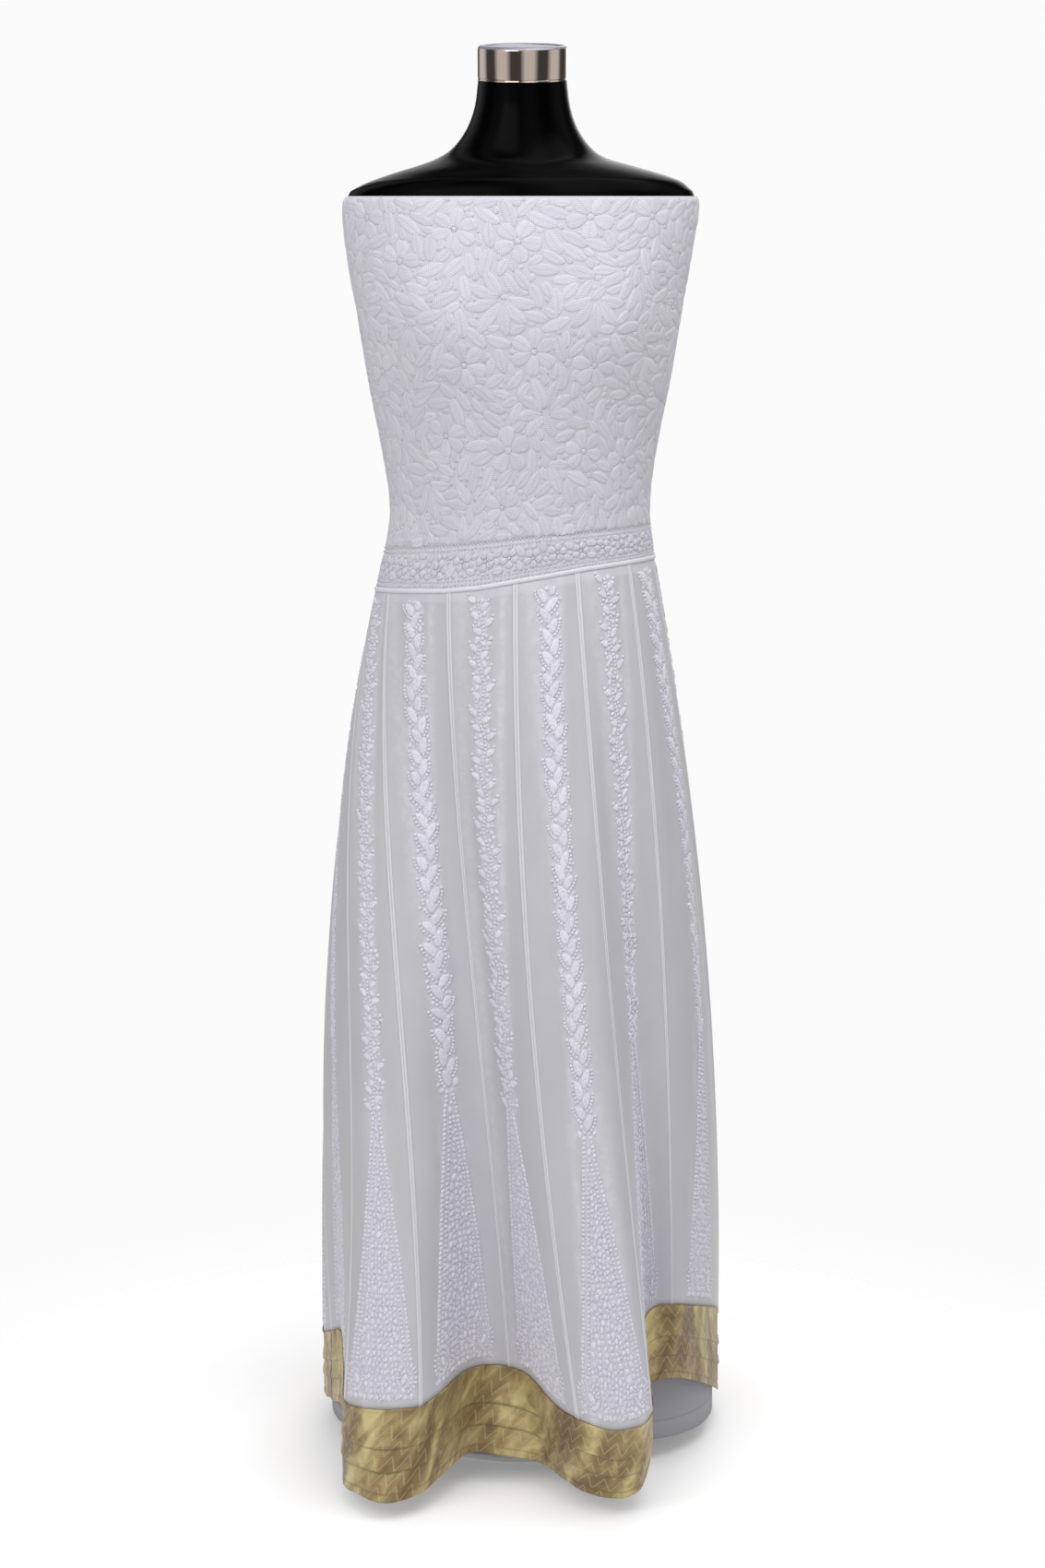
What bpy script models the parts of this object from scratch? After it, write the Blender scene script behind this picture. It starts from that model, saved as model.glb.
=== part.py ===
"""Anarkali gown on a limbless dress form, as solids.

The gown is a strapless chikankari anarkali: a shaped tube bodice, a slanting waistband with
a piped seam, a skirt of fourteen flared kalis, a brocade border at the hem and a straight
lining that shows below it.  It is worn by a gloss dress form on a pole and a round base.
Metres, +Z up, the wearer faces -Y, the origin is under the middle of the base.
"""
import math

import bmesh
import bpy
import numpy as np

# Driving dimensions of the cloth
WALL = 0.0016            # thickness of every cloth wall
SEAM_GAP = 0.0003        # clearance between two pieces that are sewn together
FORM_GAP = 0.0008        # clearance between the bodice and the dress form
LINING_GAP = 0.0006      # clearance between the skirt and its lining at the waist
PIPING_RADIUS = 0.0023
PIPING_GAP = 0.0007      # clearance between the piping and the cloth behind it
KALIS = 14
SPANS = 5                # columns of faces across one kali
SKIRT_ROWS = 13          # rows of faces down one kali
BORDER_ROWS = 3
BODICE_SPANS = 18        # columns of faces across each half of the bodice
BODICE_ROWS = 11
SIDE_REACH = 0.10        # distance of the side seams from the axis, at least
LINING_ROWS = 9

# Driving dimensions of the dress form and its stand
NECK_TILT = math.radians(11.0)
CAP_RADIUS = 0.0475
CAP_HEIGHT = 0.036
BASE_RADIUS = 0.140
BASE_HEIGHT = 0.008
POLE_RADIUS = 0.0125
COLLAR_RADIUS = 0.024
COLLAR_HEIGHT = 0.030
FLANGE_RADIUS = 0.045
FLANGE_HEIGHT = 0.008
FORM_BOTTOM = 0.725

# The bodice's top edge dips a little towards the front
TOP_EDGE = 1.347
TOP_EDGE_SLOPE = 0.085

# Outer surface of the cloth from the hips to the top edge, a row for each height
BODY_COLUMNS = ("height", "left", "right", "front", "back")
BODY_ROWS = (
    (0.905, 0.1640, 0.1540, 0.1150, 0.0960),
    (0.935, 0.1570, 0.1480, 0.1100, 0.0900),
    (0.975, 0.1480, 0.1405, 0.1060, 0.0860),
    (1.015, 0.1425, 0.1370, 0.1035, 0.0845),
    (1.034, 0.1440, 0.1380, 0.1040, 0.0855),
    (1.074, 0.1500, 0.1430, 0.1055, 0.0890),
    (1.113, 0.1575, 0.1500, 0.1090, 0.0940),
    (1.152, 0.1650, 0.1580, 0.1120, 0.0980),
    (1.192, 0.1715, 0.1645, 0.1130, 0.1010),
    (1.231, 0.1780, 0.1710, 0.1120, 0.1030),
    (1.269, 0.1850, 0.1775, 0.1085, 0.1035),
    (1.308, 0.1900, 0.1840, 0.1010, 0.1010),
    (1.328, 0.1915, 0.1870, 0.0960, 0.0985),
    (1.347, 0.1880, 0.1855, 0.0905, 0.0955),
    (1.360, 0.1750, 0.1725, 0.0850, 0.0915),
)

# The dress form where it leaves the cloth, above and below, a row for each ring:
# height, left, right, front, back, tilt
FORM_LOWER_ROWS = (
    (0.725, 0.1350, 0.1330, 0.0900, 0.0960, 0.0),
    (0.740, 0.1520, 0.1490, 0.0970, 0.1050, 0.0),
    (0.775, 0.1600, 0.1560, 0.1005, 0.1090, 0.0),
    (0.830, 0.1590, 0.1540, 0.1020, 0.1020, 0.0),
    (0.880, 0.1560, 0.1490, 0.1030, 0.0930, 0.0),
    (0.920, 0.1510, 0.1430, 0.1030, 0.0855, 0.0),
)
FORM_UPPER_ROWS = (
    (1.3555, 0.1760, 0.1770, 0.0850, 0.0900, 0.00),
    (1.3630, 0.1590, 0.1670, 0.0790, 0.0850, 0.02),
    (1.3710, 0.1360, 0.1440, 0.0720, 0.0790, 0.04),
    (1.3790, 0.1100, 0.1160, 0.0660, 0.0730, 0.08),
    (1.3870, 0.0890, 0.0880, 0.0610, 0.0660, 0.12),
    (1.3980, 0.0730, 0.0720, 0.0570, 0.0590, 0.15),
    (1.4170, 0.0590, 0.0585, 0.0520, 0.0520, 0.18),
    (1.4400, 0.0505, 0.0505, 0.0480, 0.0470, 0.19),
    (1.4660, 0.0470, 0.0470, 0.0470, 0.0470, math.tan(NECK_TILT)),
)
NECK_SHIFT = -0.010      # the neck leans this far forward at its top
NECK_TOP = FORM_UPPER_ROWS[-1][0]

# The two soft swellings of the bust
BUST_HEIGHT = 1.205
BUST_SPREAD = 0.060
BUST_ANGLE = math.radians(33.0)
BUST_WIDTH = math.radians(20.0)
BUST_DEPTH = 0.016

# Height of the waist seam and of the waistband's top edge along X
BAND_COLUMNS = ("across", "seam_height", "top_height")
BAND_ROWS = (
    (-0.160, 0.930, 0.974),
    (-0.084, 0.932, 0.978),
    (-0.045, 0.936, 0.982),
    (0.000, 0.944, 0.987),
    (0.071, 0.956, 0.993),
    (0.111, 0.961, 0.9965),
    (0.150, 0.966, 1.001),
)

# Each skirt seam and its angle round the body, at the waist and half-way down, 0 at the front
FRONT_SEAM_ROWS = (
    (0, -116.0, -88.0),
    (1, -90.0, -51.3),
    (2, -64.0, -34.9),
    (3, -29.5, -14.4),
    (4, -2.7, 1.0),
    (5, 23.3, 22.6),
    (6, 51.7, 46.3),
    (7, 78.0, 86.0),
)

# Half sizes of the unfolded skirt at the border's top edge, to the left, right, front and
# back, and how fast each side flares
SKIRT_HALF = (0.2220, 0.2205, 0.2500, 0.2500)
SKIRT_FLARE = (2.60, 2.05, 1.30, 1.80)
FOLD_GROWTH = 1.3        # the folds deepen with the 1.3th power of the way down

# The front folds, a row for each crest, hollow and seam, in fractions of a kali:
# where the border's top edge and the hem pass
FOLD_COLUMNS = ("seam", "top_x", "top_y", "top_z", "hem_x", "hem_y", "hem_z")
FOLD_ROWS = (
    (-0.35, -0.2190, -0.040, 0.112, -0.2200, -0.012, 0.030),
    (0.00, -0.2060, -0.104, 0.134, -0.2070, -0.085, 0.050),
    (0.50, -0.1910, -0.158, 0.146, -0.1920, -0.150, 0.058),
    (0.80, -0.1860, -0.205, 0.122, -0.1870, -0.203, 0.030),
    (1.00, -0.1835, -0.249, 0.109, -0.1865, -0.244, 0.019),
    (1.25, -0.1650, -0.280, 0.111, -0.1660, -0.285, 0.020),
    (1.50, -0.1470, -0.284, 0.110, -0.1440, -0.303, 0.019),
    (1.75, -0.1260, -0.288, 0.112, -0.1240, -0.303, 0.021),
    (2.00, -0.1030, -0.286, 0.115, -0.1020, -0.285, 0.024),
    (2.25, -0.0830, -0.260, 0.121, -0.0820, -0.252, 0.030),
    (2.50, -0.0620, -0.217, 0.127, -0.0620, -0.213, 0.035),
    (3.00, -0.0140, -0.190, 0.123, -0.0160, -0.208, 0.032),
    (3.30, 0.0080, -0.212, 0.120, 0.0170, -0.215, 0.029),
    (3.60, 0.0315, -0.262, 0.110, 0.0360, -0.242, 0.026),
    (4.00, 0.0555, -0.298, 0.106, 0.0580, -0.275, 0.023),
    (4.30, 0.0845, -0.314, 0.100, 0.0850, -0.290, 0.019),
    (4.60, 0.1075, -0.317, 0.102, 0.1090, -0.292, 0.022),
    (4.85, 0.1245, -0.309, 0.106, 0.1260, -0.275, 0.033),
    (5.00, 0.1315, -0.288, 0.110, 0.1330, -0.243, 0.048),
    (5.25, 0.1285, -0.235, 0.140, 0.1300, -0.200, 0.075),
    (5.50, 0.1270, -0.182, 0.168, 0.1285, -0.172, 0.092),
    (5.75, 0.1400, -0.176, 0.184, 0.1420, -0.165, 0.100),
    (6.00, 0.1570, -0.178, 0.187, 0.1590, -0.155, 0.099),
    (6.50, 0.1860, -0.132, 0.171, 0.1875, -0.112, 0.081),
    (6.75, 0.2085, -0.062, 0.147, 0.2095, -0.055, 0.055),
    (7.00, 0.2190, 0.010, 0.120, 0.2200, 0.005, 0.030),
)
FRONT_KALIS = 7

# The back hangs in even waves between these two angles
BACK_START = math.radians(94.0)
BACK_SWEEP = math.radians(190.0)
BACK_DRIFT = 0.012       # share of the sweep by which the seams wander from even spacing
BACK_END_SPAN = 0.35     # the waves end this many kalis before the first seam
BACK_WAVES = 4
BACK_WAVE_DEPTH = 0.026
BACK_WAVE_SWELL = 1.6    # the waves swell towards the middle with this power of a sine
BACK_WAVE_RISE = 0.15    # a crest hangs lower by this share of its wave
BACK_TOP_HEIGHT = 0.118
BACK_HEM_HEIGHT = 0.028
BACK_HEM_FLARE = 0.004

# The straight lining: half sizes at its hem, and its hem's height
LINING_HALF = (0.2130, 0.2125, 0.1760, 0.1800)
LINING_FLARE = (2.60, 2.10, 1.80, 1.90)
LINING_POWER = 2.25      # the hem's outline is squarer than an ellipse
LINING_HEM = 0.021
LINING_FRONT_RISE = 0.014

COLLECTION = "anarkali_gown"


def srgb(value):
    """Linear value of one sRGB channel given from 0 to 255."""
    level = value / 255.0
    if level <= 0.04045:
        return level / 12.92
    return ((level + 0.055) / 1.055) ** 2.4


def finish(name, red, green, blue, roughness, metallic=0.0):
    """A Principled material of one colour."""
    material = bpy.data.materials.new(name)
    material.use_nodes = True
    shader = material.node_tree.nodes["Principled BSDF"]
    shader.inputs["Base Color"].default_value = (srgb(red), srgb(green), srgb(blue), 1.0)
    shader.inputs["Roughness"].default_value = roughness
    shader.inputs["Metallic"].default_value = metallic
    return material


def clear_scene():
    """Remove what the file starts with."""
    for leftover in list(bpy.data.objects):
        bpy.data.objects.remove(leftover, do_unlink=True)


def add_object(name, data, material, collection):
    """One named object with its own material."""
    piece = bpy.data.objects.new(name, data)
    data.materials.append(material)
    collection.objects.link(piece)
    return piece


def column(rows, columns, name):
    """One named column of a table, as an array."""
    return np.array([row[columns.index(name)] for row in rows])


def ellipse(angle, left, right, front, back):
    """A ring with its own half size on each of its four sides; angle 0 faces the front."""
    side = np.where(np.sin(angle) < 0.0, left, right)
    depth = np.where(np.cos(angle) > 0.0, front, back)
    return side * np.sin(angle), -depth * np.cos(angle)


def smooth_rows(rows, columns, place, period=0.0):
    """Read a table at any place along its first column, going round where it has a period.

    A cubic runs through the rows, with slopes taken from the neighbouring rows.
    """
    knots = column(rows, columns, columns[0])
    values = np.array([row[1:] for row in rows])
    if period:
        knots = np.concatenate([knots[-2:] - period, knots, knots[:2] + period])
        values = np.concatenate([values[-2:], values, values[:2]])
    slopes = np.gradient(values, knots, axis=0)
    place = np.clip(np.asarray(place, dtype=float), knots[0], knots[-1])
    first = np.clip(np.searchsorted(knots, place, side="right") - 1, 0, len(knots) - 2)
    width = (knots[first + 1] - knots[first])[..., None]
    part = (place - knots[first])[..., None] / width
    rise = part * part * (3.0 - 2.0 * part)
    bend = part * (1.0 - part) * width
    mixed = values[first] * (1.0 - rise) + values[first + 1] * rise
    return mixed + bend * ((1.0 - part) * slopes[first] - part * slopes[first + 1])


def body_sizes(height):
    """Half sizes of the clothed body at each height."""
    sizes = smooth_rows(BODY_ROWS, BODY_COLUMNS, height)
    return [sizes[..., index] for index in range(4)]


def bust(angle, height):
    """How far the bust pushes the front forward: a soft hill on each side."""
    heading = np.arctan2(np.sin(angle), np.cos(angle))
    hills = np.exp(-((heading - BUST_ANGLE) / BUST_WIDTH) ** 2)
    hills = hills + np.exp(-((heading + BUST_ANGLE) / BUST_WIDTH) ** 2)
    return BUST_DEPTH * hills * np.exp(-((height - BUST_HEIGHT) / BUST_SPREAD) ** 2)


def body_point(angle, height, inset):
    """A point of the clothed body, moved in by inset."""
    left, right, front, back = body_sizes(height)
    across, forward = ellipse(angle, left - inset, right - inset, front - inset, back - inset)
    forward = forward - bust(angle, height)
    return np.stack([across, forward, height + 0.0 * angle], axis=-1)


def band_height(across, name):
    """Height of the waist seam or of the waistband's top edge at this X."""
    return np.interp(across, column(BAND_ROWS, BAND_COLUMNS, "across"),
                     column(BAND_ROWS, BAND_COLUMNS, name))


def waist_ring(angle, name, inset):
    """The ring of the body on the slanting waist line: its height follows its own X."""
    height = band_height(0.0 * angle, name)
    for _ in range(4):
        points = body_point(angle, height, inset)
        height = band_height(points[..., 0], name)
    return body_point(angle, height, inset)


def back_fold_rows():
    """Rows of the fold table for the back, where the skirt hangs in even waves."""
    rows = []
    steps = (KALIS - FRONT_KALIS) * 4
    for step in range(2, steps - 2):
        part = step / steps
        angle = BACK_START + BACK_SWEEP * (part + BACK_DRIFT * math.sin(4.0 * math.pi * part))
        swell = math.sin(math.pi * part) ** BACK_WAVE_SWELL
        wave = BACK_WAVE_DEPTH * swell * math.cos(2.0 * math.pi * BACK_WAVES * (part - 0.5))
        ring = []
        for flare in (0.0, BACK_HEM_FLARE):
            left, right, front, back = SKIRT_HALF
            across, forward = ellipse(np.array(angle), left + flare - 0.5 * BACK_HEM_FLARE,
                                      right + flare - 0.5 * BACK_HEM_FLARE, front, back + flare)
            reach = math.hypot(float(across), float(forward))
            ring.append((float(across) * (1.0 + wave / reach),
                         float(forward) * (1.0 + wave / reach)))
        seam = FRONT_KALIS + part * (KALIS - FRONT_KALIS - BACK_END_SPAN)
        drop = BACK_WAVE_RISE * wave
        rows.append((seam, ring[0][0], ring[0][1], BACK_TOP_HEIGHT - drop,
                     ring[1][0], ring[1][1], BACK_HEM_HEIGHT - drop))
    return rows


def fold_table():
    """Front and back fold rows in one going-round table that starts at seam 0."""
    rows = []
    for row in FOLD_ROWS:
        rows.append(((row[0] + KALIS) % KALIS,) + tuple(row[1:]))
    return sorted(rows + back_fold_rows())


def seam_angles(place):
    """Angles of the seam lines at the waist and half-way down, in radians."""
    rows = [(float(row[0]), row[1], row[2]) for row in FRONT_SEAM_ROWS]
    last_waist = rows[-1][1]
    last_middle = rows[-1][2]
    back = KALIS - FRONT_KALIS
    for step in range(1, back):
        waist = last_waist + (360.0 - last_waist + rows[0][1]) * step / back
        middle = last_middle + (360.0 - last_middle + rows[0][2]) * step / back
        rows.append((float(FRONT_KALIS + step), waist, middle))
    seams = np.array([row[0] for row in rows] + [float(KALIS)])
    waists = np.array([row[1] for row in rows] + [rows[0][1] + 360.0])
    middles = np.array([row[2] for row in rows] + [rows[0][2] + 360.0])
    return (np.radians(np.interp(place, seams, waists)),
            np.radians(np.interp(place, seams, middles)))


def grown(start, end, way, speed):
    """A half size that grows from start to end, fast at first where speed is high."""
    return start + (end - start) * (1.0 - (1.0 - way) ** speed)


def skirt_surface(places, ways):
    """Outer surface of the skirt from the waist seam (way 0) to the border's top (way 1).

    An ellipse flares from the waist ring, its angle drifts along the seams, and each
    column's fold offset is added with a power of the way down.
    """
    border = smooth_rows(fold_table(), FOLD_COLUMNS, places, KALIS)
    waist_angle, middle_angle = seam_angles(places)
    left, right, front, back = SKIRT_HALF
    low_angle = np.arctan2(border[:, 0] / np.where(border[:, 0] < 0.0, left, right),
                           -border[:, 1] / np.where(border[:, 1] < 0.0, front, back))
    low_angle = low_angle + 2.0 * math.pi * np.round((middle_angle - low_angle) / (2.0 * math.pi))
    unfolded = np.stack(ellipse(low_angle, left, right, front, back), axis=-1)
    offset = border[:, 0:2] - unfolded
    top = waist_ring(waist_angle, "seam_height", 0.0)
    grid = np.zeros((len(ways), len(places), 3))
    for index, way in enumerate(ways):
        angle = (waist_angle * 2.0 * (way - 0.5) * (way - 1.0)
                 + middle_angle * 4.0 * way * (1.0 - way)
                 + low_angle * 2.0 * way * (way - 0.5))
        height = top[:, 2] + (border[:, 2] - top[:, 2]) * way
        sizes = body_sizes(top[:, 2])
        halves = []
        for start, end, speed in zip(sizes, SKIRT_HALF, SKIRT_FLARE):
            halves.append(grown(start, end, way, speed))
        across, forward = ellipse(angle, *halves)
        weight = way ** FOLD_GROWTH
        grid[index, :, 0] = across + weight * offset[:, 0]
        grid[index, :, 1] = forward + weight * offset[:, 1]
        grid[index, :, 2] = height
    return grid


def border_surface(places, ways):
    """Outer surface of the brocade border from its top edge (way 0) to the hem (way 1)."""
    rows = smooth_rows(fold_table(), FOLD_COLUMNS, places, KALIS)
    ways = np.asarray(ways)[:, None, None]
    return rows[None, :, 0:3] * (1.0 - ways) + rows[None, :, 3:6] * ways


def outward(grid):
    """Unit normals of a grid of rows and columns that goes right round."""
    along = np.roll(grid, -1, axis=1) - np.roll(grid, 1, axis=1)
    down = np.gradient(grid, axis=0)
    normals = np.cross(down, along)
    return normals / np.linalg.norm(normals, axis=-1, keepdims=True)


def unit(vectors):
    """The same vectors at length one."""
    return vectors / np.linalg.norm(vectors, axis=-1, keepdims=True)


def grid_faces(rows, columns, closed):
    """Triangles of a grid, row 0 on top; every square is split along the same diagonal,
    so that two surfaces that lie together stay parallel."""
    faces = []
    for row in range(rows - 1):
        for start in range(columns if closed else columns - 1):
            a = row * columns + start
            b = row * columns + (start + 1) % columns
            faces.append((a, a + columns, b + columns))
            faces.append((a, b + columns, b))
    return faces


def closed_mesh(name, points, faces, sharp_angle):
    """A closed body from its points and faces, facing outwards and shaded smooth."""
    mesh = bpy.data.meshes.new(name)
    mesh.from_pydata(points.tolist(), [], faces)
    shaped = bmesh.new()
    shaped.from_mesh(mesh)
    bmesh.ops.recalc_face_normals(shaped, faces=shaped.faces)
    shaped.to_mesh(mesh)
    shaped.free()
    mesh.shade_smooth()
    mesh.set_sharp_from_angle(angle=math.radians(sharp_angle))
    return mesh


def wall_mesh(name, outer, inner):
    """A closed wall between two grids of points: both skins and the four rims."""
    rows, columns, _ = outer.shape
    points = np.concatenate([outer.reshape(-1, 3), inner.reshape(-1, 3)])
    count = rows * columns
    skin = grid_faces(rows, columns, False)
    faces = skin + [(count + a, count + c, count + b) for a, b, c in skin]
    edges = []
    low = (rows - 1) * columns
    for start in range(columns - 1):
        edges.append((start, start + 1))
        edges.append((low + start + 1, low + start))
    for row in range(rows - 1):
        left = row * columns
        right = left + columns - 1
        edges.append((left + columns, left))
        edges.append((right, right + columns))
    faces.extend((a, b, count + b, count + a) for a, b in edges)
    return closed_mesh(name, points, faces, 50.0)


def cut_panel(grid, normals, first, last):
    """One panel of a skirt that goes round, drawn in by half a seam gap at both sides."""
    wrapped = np.arange(first, last + 1) % grid.shape[1]
    outer = grid[:, wrapped].copy()
    across = normals[:, wrapped]
    for edge, inside in ((0, 1), (-1, -2)):
        step = unit(outer[:, inside] - outer[:, edge])
        outer[:, edge] = outer[:, edge] + 0.5 * SEAM_GAP * step
    return outer, outer - WALL * across


def skirt_grids():
    """Outer points and normals of the kalis and of the border, sharing their joint."""
    places = np.arange(KALIS * SPANS) / SPANS
    skirt = skirt_surface(places, np.linspace(0.0, 1.0, SKIRT_ROWS + 1))
    border = border_surface(places, np.linspace(0.0, 1.0, BORDER_ROWS + 1))
    skirt_normals = outward(skirt)
    border_normals = outward(border)
    flat = skirt_normals[0].copy()
    flat[:, 2] = 0.0
    skirt_normals[0] = unit(flat)
    shared = unit(skirt_normals[-1] + border_normals[0])
    skirt_normals[-1] = shared
    border_normals[0] = shared
    skirt[0, :, 2] -= 0.5 * SEAM_GAP
    skirt[-1] += 0.5 * SEAM_GAP * unit(skirt[-2] - skirt[-1])
    border[0] += 0.5 * SEAM_GAP * unit(border[1] - border[0])
    return skirt, skirt_normals, border, border_normals


def make_skirt(collection):
    """Fourteen kalis and the two halves of the border."""
    skirt, skirt_normals, border, border_normals = skirt_grids()
    georgette = finish("georgette", 192, 191, 197, 0.85)
    for index in range(KALIS):
        outer, inner = cut_panel(skirt, skirt_normals, index * SPANS, (index + 1) * SPANS)
        name = f"kali_{index + 1:02d}"
        add_object(name, wall_mesh(name, outer, inner), georgette.copy(), collection)
    brocade = finish("brocade", 141, 126, 94, 0.55)
    halves = (("border_front", 0, FRONT_KALIS), ("border_back", FRONT_KALIS, KALIS))
    for name, first, last in halves:
        outer, inner = cut_panel(border, border_normals, first * SPANS, last * SPANS)
        add_object(name, wall_mesh(name, outer, inner), brocade.copy(), collection)


def half_angles(front, spans):
    """Angles across the front or the back half, drawn in by half a seam gap at its ends."""
    middle = 0.0 if front else math.pi
    draw = 0.5 * SEAM_GAP / SIDE_REACH
    angles = middle + np.linspace(-0.5 * math.pi, 0.5 * math.pi, spans + 1)
    angles[0] += draw
    angles[-1] -= draw
    return angles


def bodice_rings(angles, inset):
    """Rings from the straight top edge down to the waistband, moved in by inset."""
    low = waist_ring(angles, "top_height", inset)[:, 2] + SEAM_GAP
    high = np.full_like(low, TOP_EDGE)
    for _ in range(3):
        high = TOP_EDGE + TOP_EDGE_SLOPE * body_point(angles, high, inset)[:, 1]
    ways = np.linspace(0.0, 1.0, BODICE_ROWS + 1)
    return np.array([body_point(angles, high + (low - high) * way, inset) for way in ways])


def make_bodice(collection):
    """Front and back of the bodice, from the waistband to the straight top edge."""
    cloth = finish("embroidered_georgette", 203, 202, 211, 0.88)
    for name, front in (("bodice_front", True), ("bodice_back", False)):
        angles = half_angles(front, BODICE_SPANS)
        outer = bodice_rings(angles, 0.0)
        inner = bodice_rings(angles, WALL)
        add_object(name, wall_mesh(name, outer, inner), cloth.copy(), collection)


def band_rings(angles, inset):
    """The waistband's top edge, middle and seam, moved in by inset."""
    seam = waist_ring(angles, "seam_height", inset)
    top = waist_ring(angles, "top_height", inset)
    middle = body_point(angles, 0.5 * (seam[:, 2] + top[:, 2]), inset)
    seam[:, 2] += 0.5 * SEAM_GAP
    return np.array([top, middle, seam])


def make_waistband(collection):
    """Front and back of the waistband, and the piping on the waist seam."""
    cloth = finish("waistband_georgette", 201, 200, 209, 0.88)
    places = np.arange(KALIS * SPANS) / SPANS
    angles, _ = seam_angles(places)
    walls = (band_rings(angles, 0.0), band_rings(angles, WALL))
    normals = unit(walls[0] - walls[1])
    halves = (("waistband_front", 1, 8), ("waistband_back", 8, 15))
    for name, first, last in halves:
        outer, _ = cut_panel(walls[0], normals, first * SPANS, last * SPANS)
        inner, _ = cut_panel(walls[1], normals, first * SPANS, last * SPANS)
        add_object(name, wall_mesh(name, outer, inner), cloth.copy(), collection)
    path = waist_ring(angles, "seam_height", -(PIPING_RADIUS + PIPING_GAP))
    curve = bpy.data.curves.new("waist_piping", "CURVE")
    curve.dimensions = "3D"
    curve.bevel_depth = PIPING_RADIUS
    curve.bevel_resolution = 0
    spline = curve.splines.new("POLY")
    spline.points.add(len(path) - 1)
    for point, place in zip(spline.points, path):
        point.co = (place[0], place[1], place[2], 1.0)
    spline.use_cyclic_u = True
    add_object("waist_piping", curve, finish("piping", 206, 205, 213, 0.8), collection)


def lining_surface(angles, ways, inset):
    """The lining: an ellipse at the waist that turns into a squarer ring at the hem."""
    top = waist_ring(angles, "seam_height", 0.0)
    sizes = body_sizes(top[:, 2])
    grid = np.zeros((len(ways), len(angles), 3))
    hem = LINING_HEM + LINING_FRONT_RISE * np.maximum(np.cos(angles), 0.0) ** 4
    for index, way in enumerate(ways):
        power = 2.0 / (2.0 + (LINING_POWER - 2.0) * way)
        sine = np.sign(np.sin(angles)) * np.abs(np.sin(angles)) ** power
        cosine = np.sign(np.cos(angles)) * np.abs(np.cos(angles)) ** power
        halves = []
        for start, end, speed in zip(sizes, LINING_HALF, LINING_FLARE):
            halves.append(grown(start - WALL - LINING_GAP, end, way, speed) - inset)
        grid[index, :, 0] = np.where(sine < 0.0, halves[0], halves[1]) * sine
        grid[index, :, 1] = -np.where(cosine > 0.0, halves[2], halves[3]) * cosine
        grid[index, :, 2] = top[:, 2] - SEAM_GAP + (hem - top[:, 2]) * way
    return grid


def make_lining(collection):
    """Front and back of the straight lining, sewn at the sides."""
    cotton = finish("lining", 168, 167, 171, 0.9)
    ways = np.linspace(0.0, 1.0, LINING_ROWS + 1)
    for name, front in (("lining_front", True), ("lining_back", False)):
        angles = half_angles(front, BODICE_SPANS)
        outer = lining_surface(angles, ways, 0.0)
        inner = lining_surface(angles, ways, WALL)
        add_object(name, wall_mesh(name, outer, inner), cotton.copy(), collection)


def form_ring(angles, row):
    """One ring of the dress form where no cloth lies on it."""
    height, left, right, front, back, tilt = row
    across, forward = ellipse(angles, left, right, front, back)
    lean = NECK_SHIFT * max(0.0, min(1.0, (height - TOP_EDGE) / (NECK_TOP - TOP_EDGE)))
    return np.stack([across, forward + lean, height + tilt * forward], axis=-1)


def make_form(collection):
    """The torso: the bodice's own surface moved in, with hips below and a neck above."""
    angles = np.linspace(0.0, 2.0 * math.pi, 2 * BODICE_SPANS, endpoint=False)
    inset = WALL + FORM_GAP
    rings = [form_ring(angles, row) for row in FORM_LOWER_ROWS]
    rings.append(waist_ring(angles, "seam_height", inset + WALL + LINING_GAP))
    rings.append(band_rings(angles, inset)[1])
    rings.extend(bodice_rings(angles, inset)[::-1])
    rings.extend(form_ring(angles, row) for row in FORM_UPPER_ROWS)
    grid = np.array(rings[::-1])
    rows, columns, _ = grid.shape
    faces = grid_faces(rows, columns, True)
    faces.append(tuple(range(columns)))
    faces.append(tuple(range((rows - 1) * columns, rows * columns)))
    mesh = closed_mesh("form_torso", grid.reshape(-1, 3), faces, 45.0)
    add_object("form_torso", mesh, finish("gloss_black", 6, 6, 7, 0.12), collection)


def turned(name, profile, steps, material, collection):
    """A turned piece: a profile of (radius, height) pairs, top to bottom, spun round Z."""
    mesh = bpy.data.meshes.new(name)
    points = [(radius, 0.0, height) for radius, height in profile]
    edges = [(index, index + 1) for index in range(len(points) - 1)]
    mesh.from_pydata(points, edges, [])
    piece = add_object(name, mesh, material, collection)
    screw = piece.modifiers.new("spin", "SCREW")
    screw.steps = steps
    screw.render_steps = steps
    screw.use_merge_vertices = True
    screw.merge_threshold = 0.00005
    screw.use_smooth_shade = True
    return piece


def rounded_disc(radius, low, high, edge):
    """Profile of a disc with a rounded upper edge, from its middle top to its middle bottom."""
    profile = [(0.0, high)]
    for step in range(5):
        turn = math.radians(22.5 * step)
        profile.append((radius - edge + edge * math.sin(turn), high - edge + edge * math.cos(turn)))
    profile.append((radius, low))
    profile.append((0.0, low))
    return profile


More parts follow.
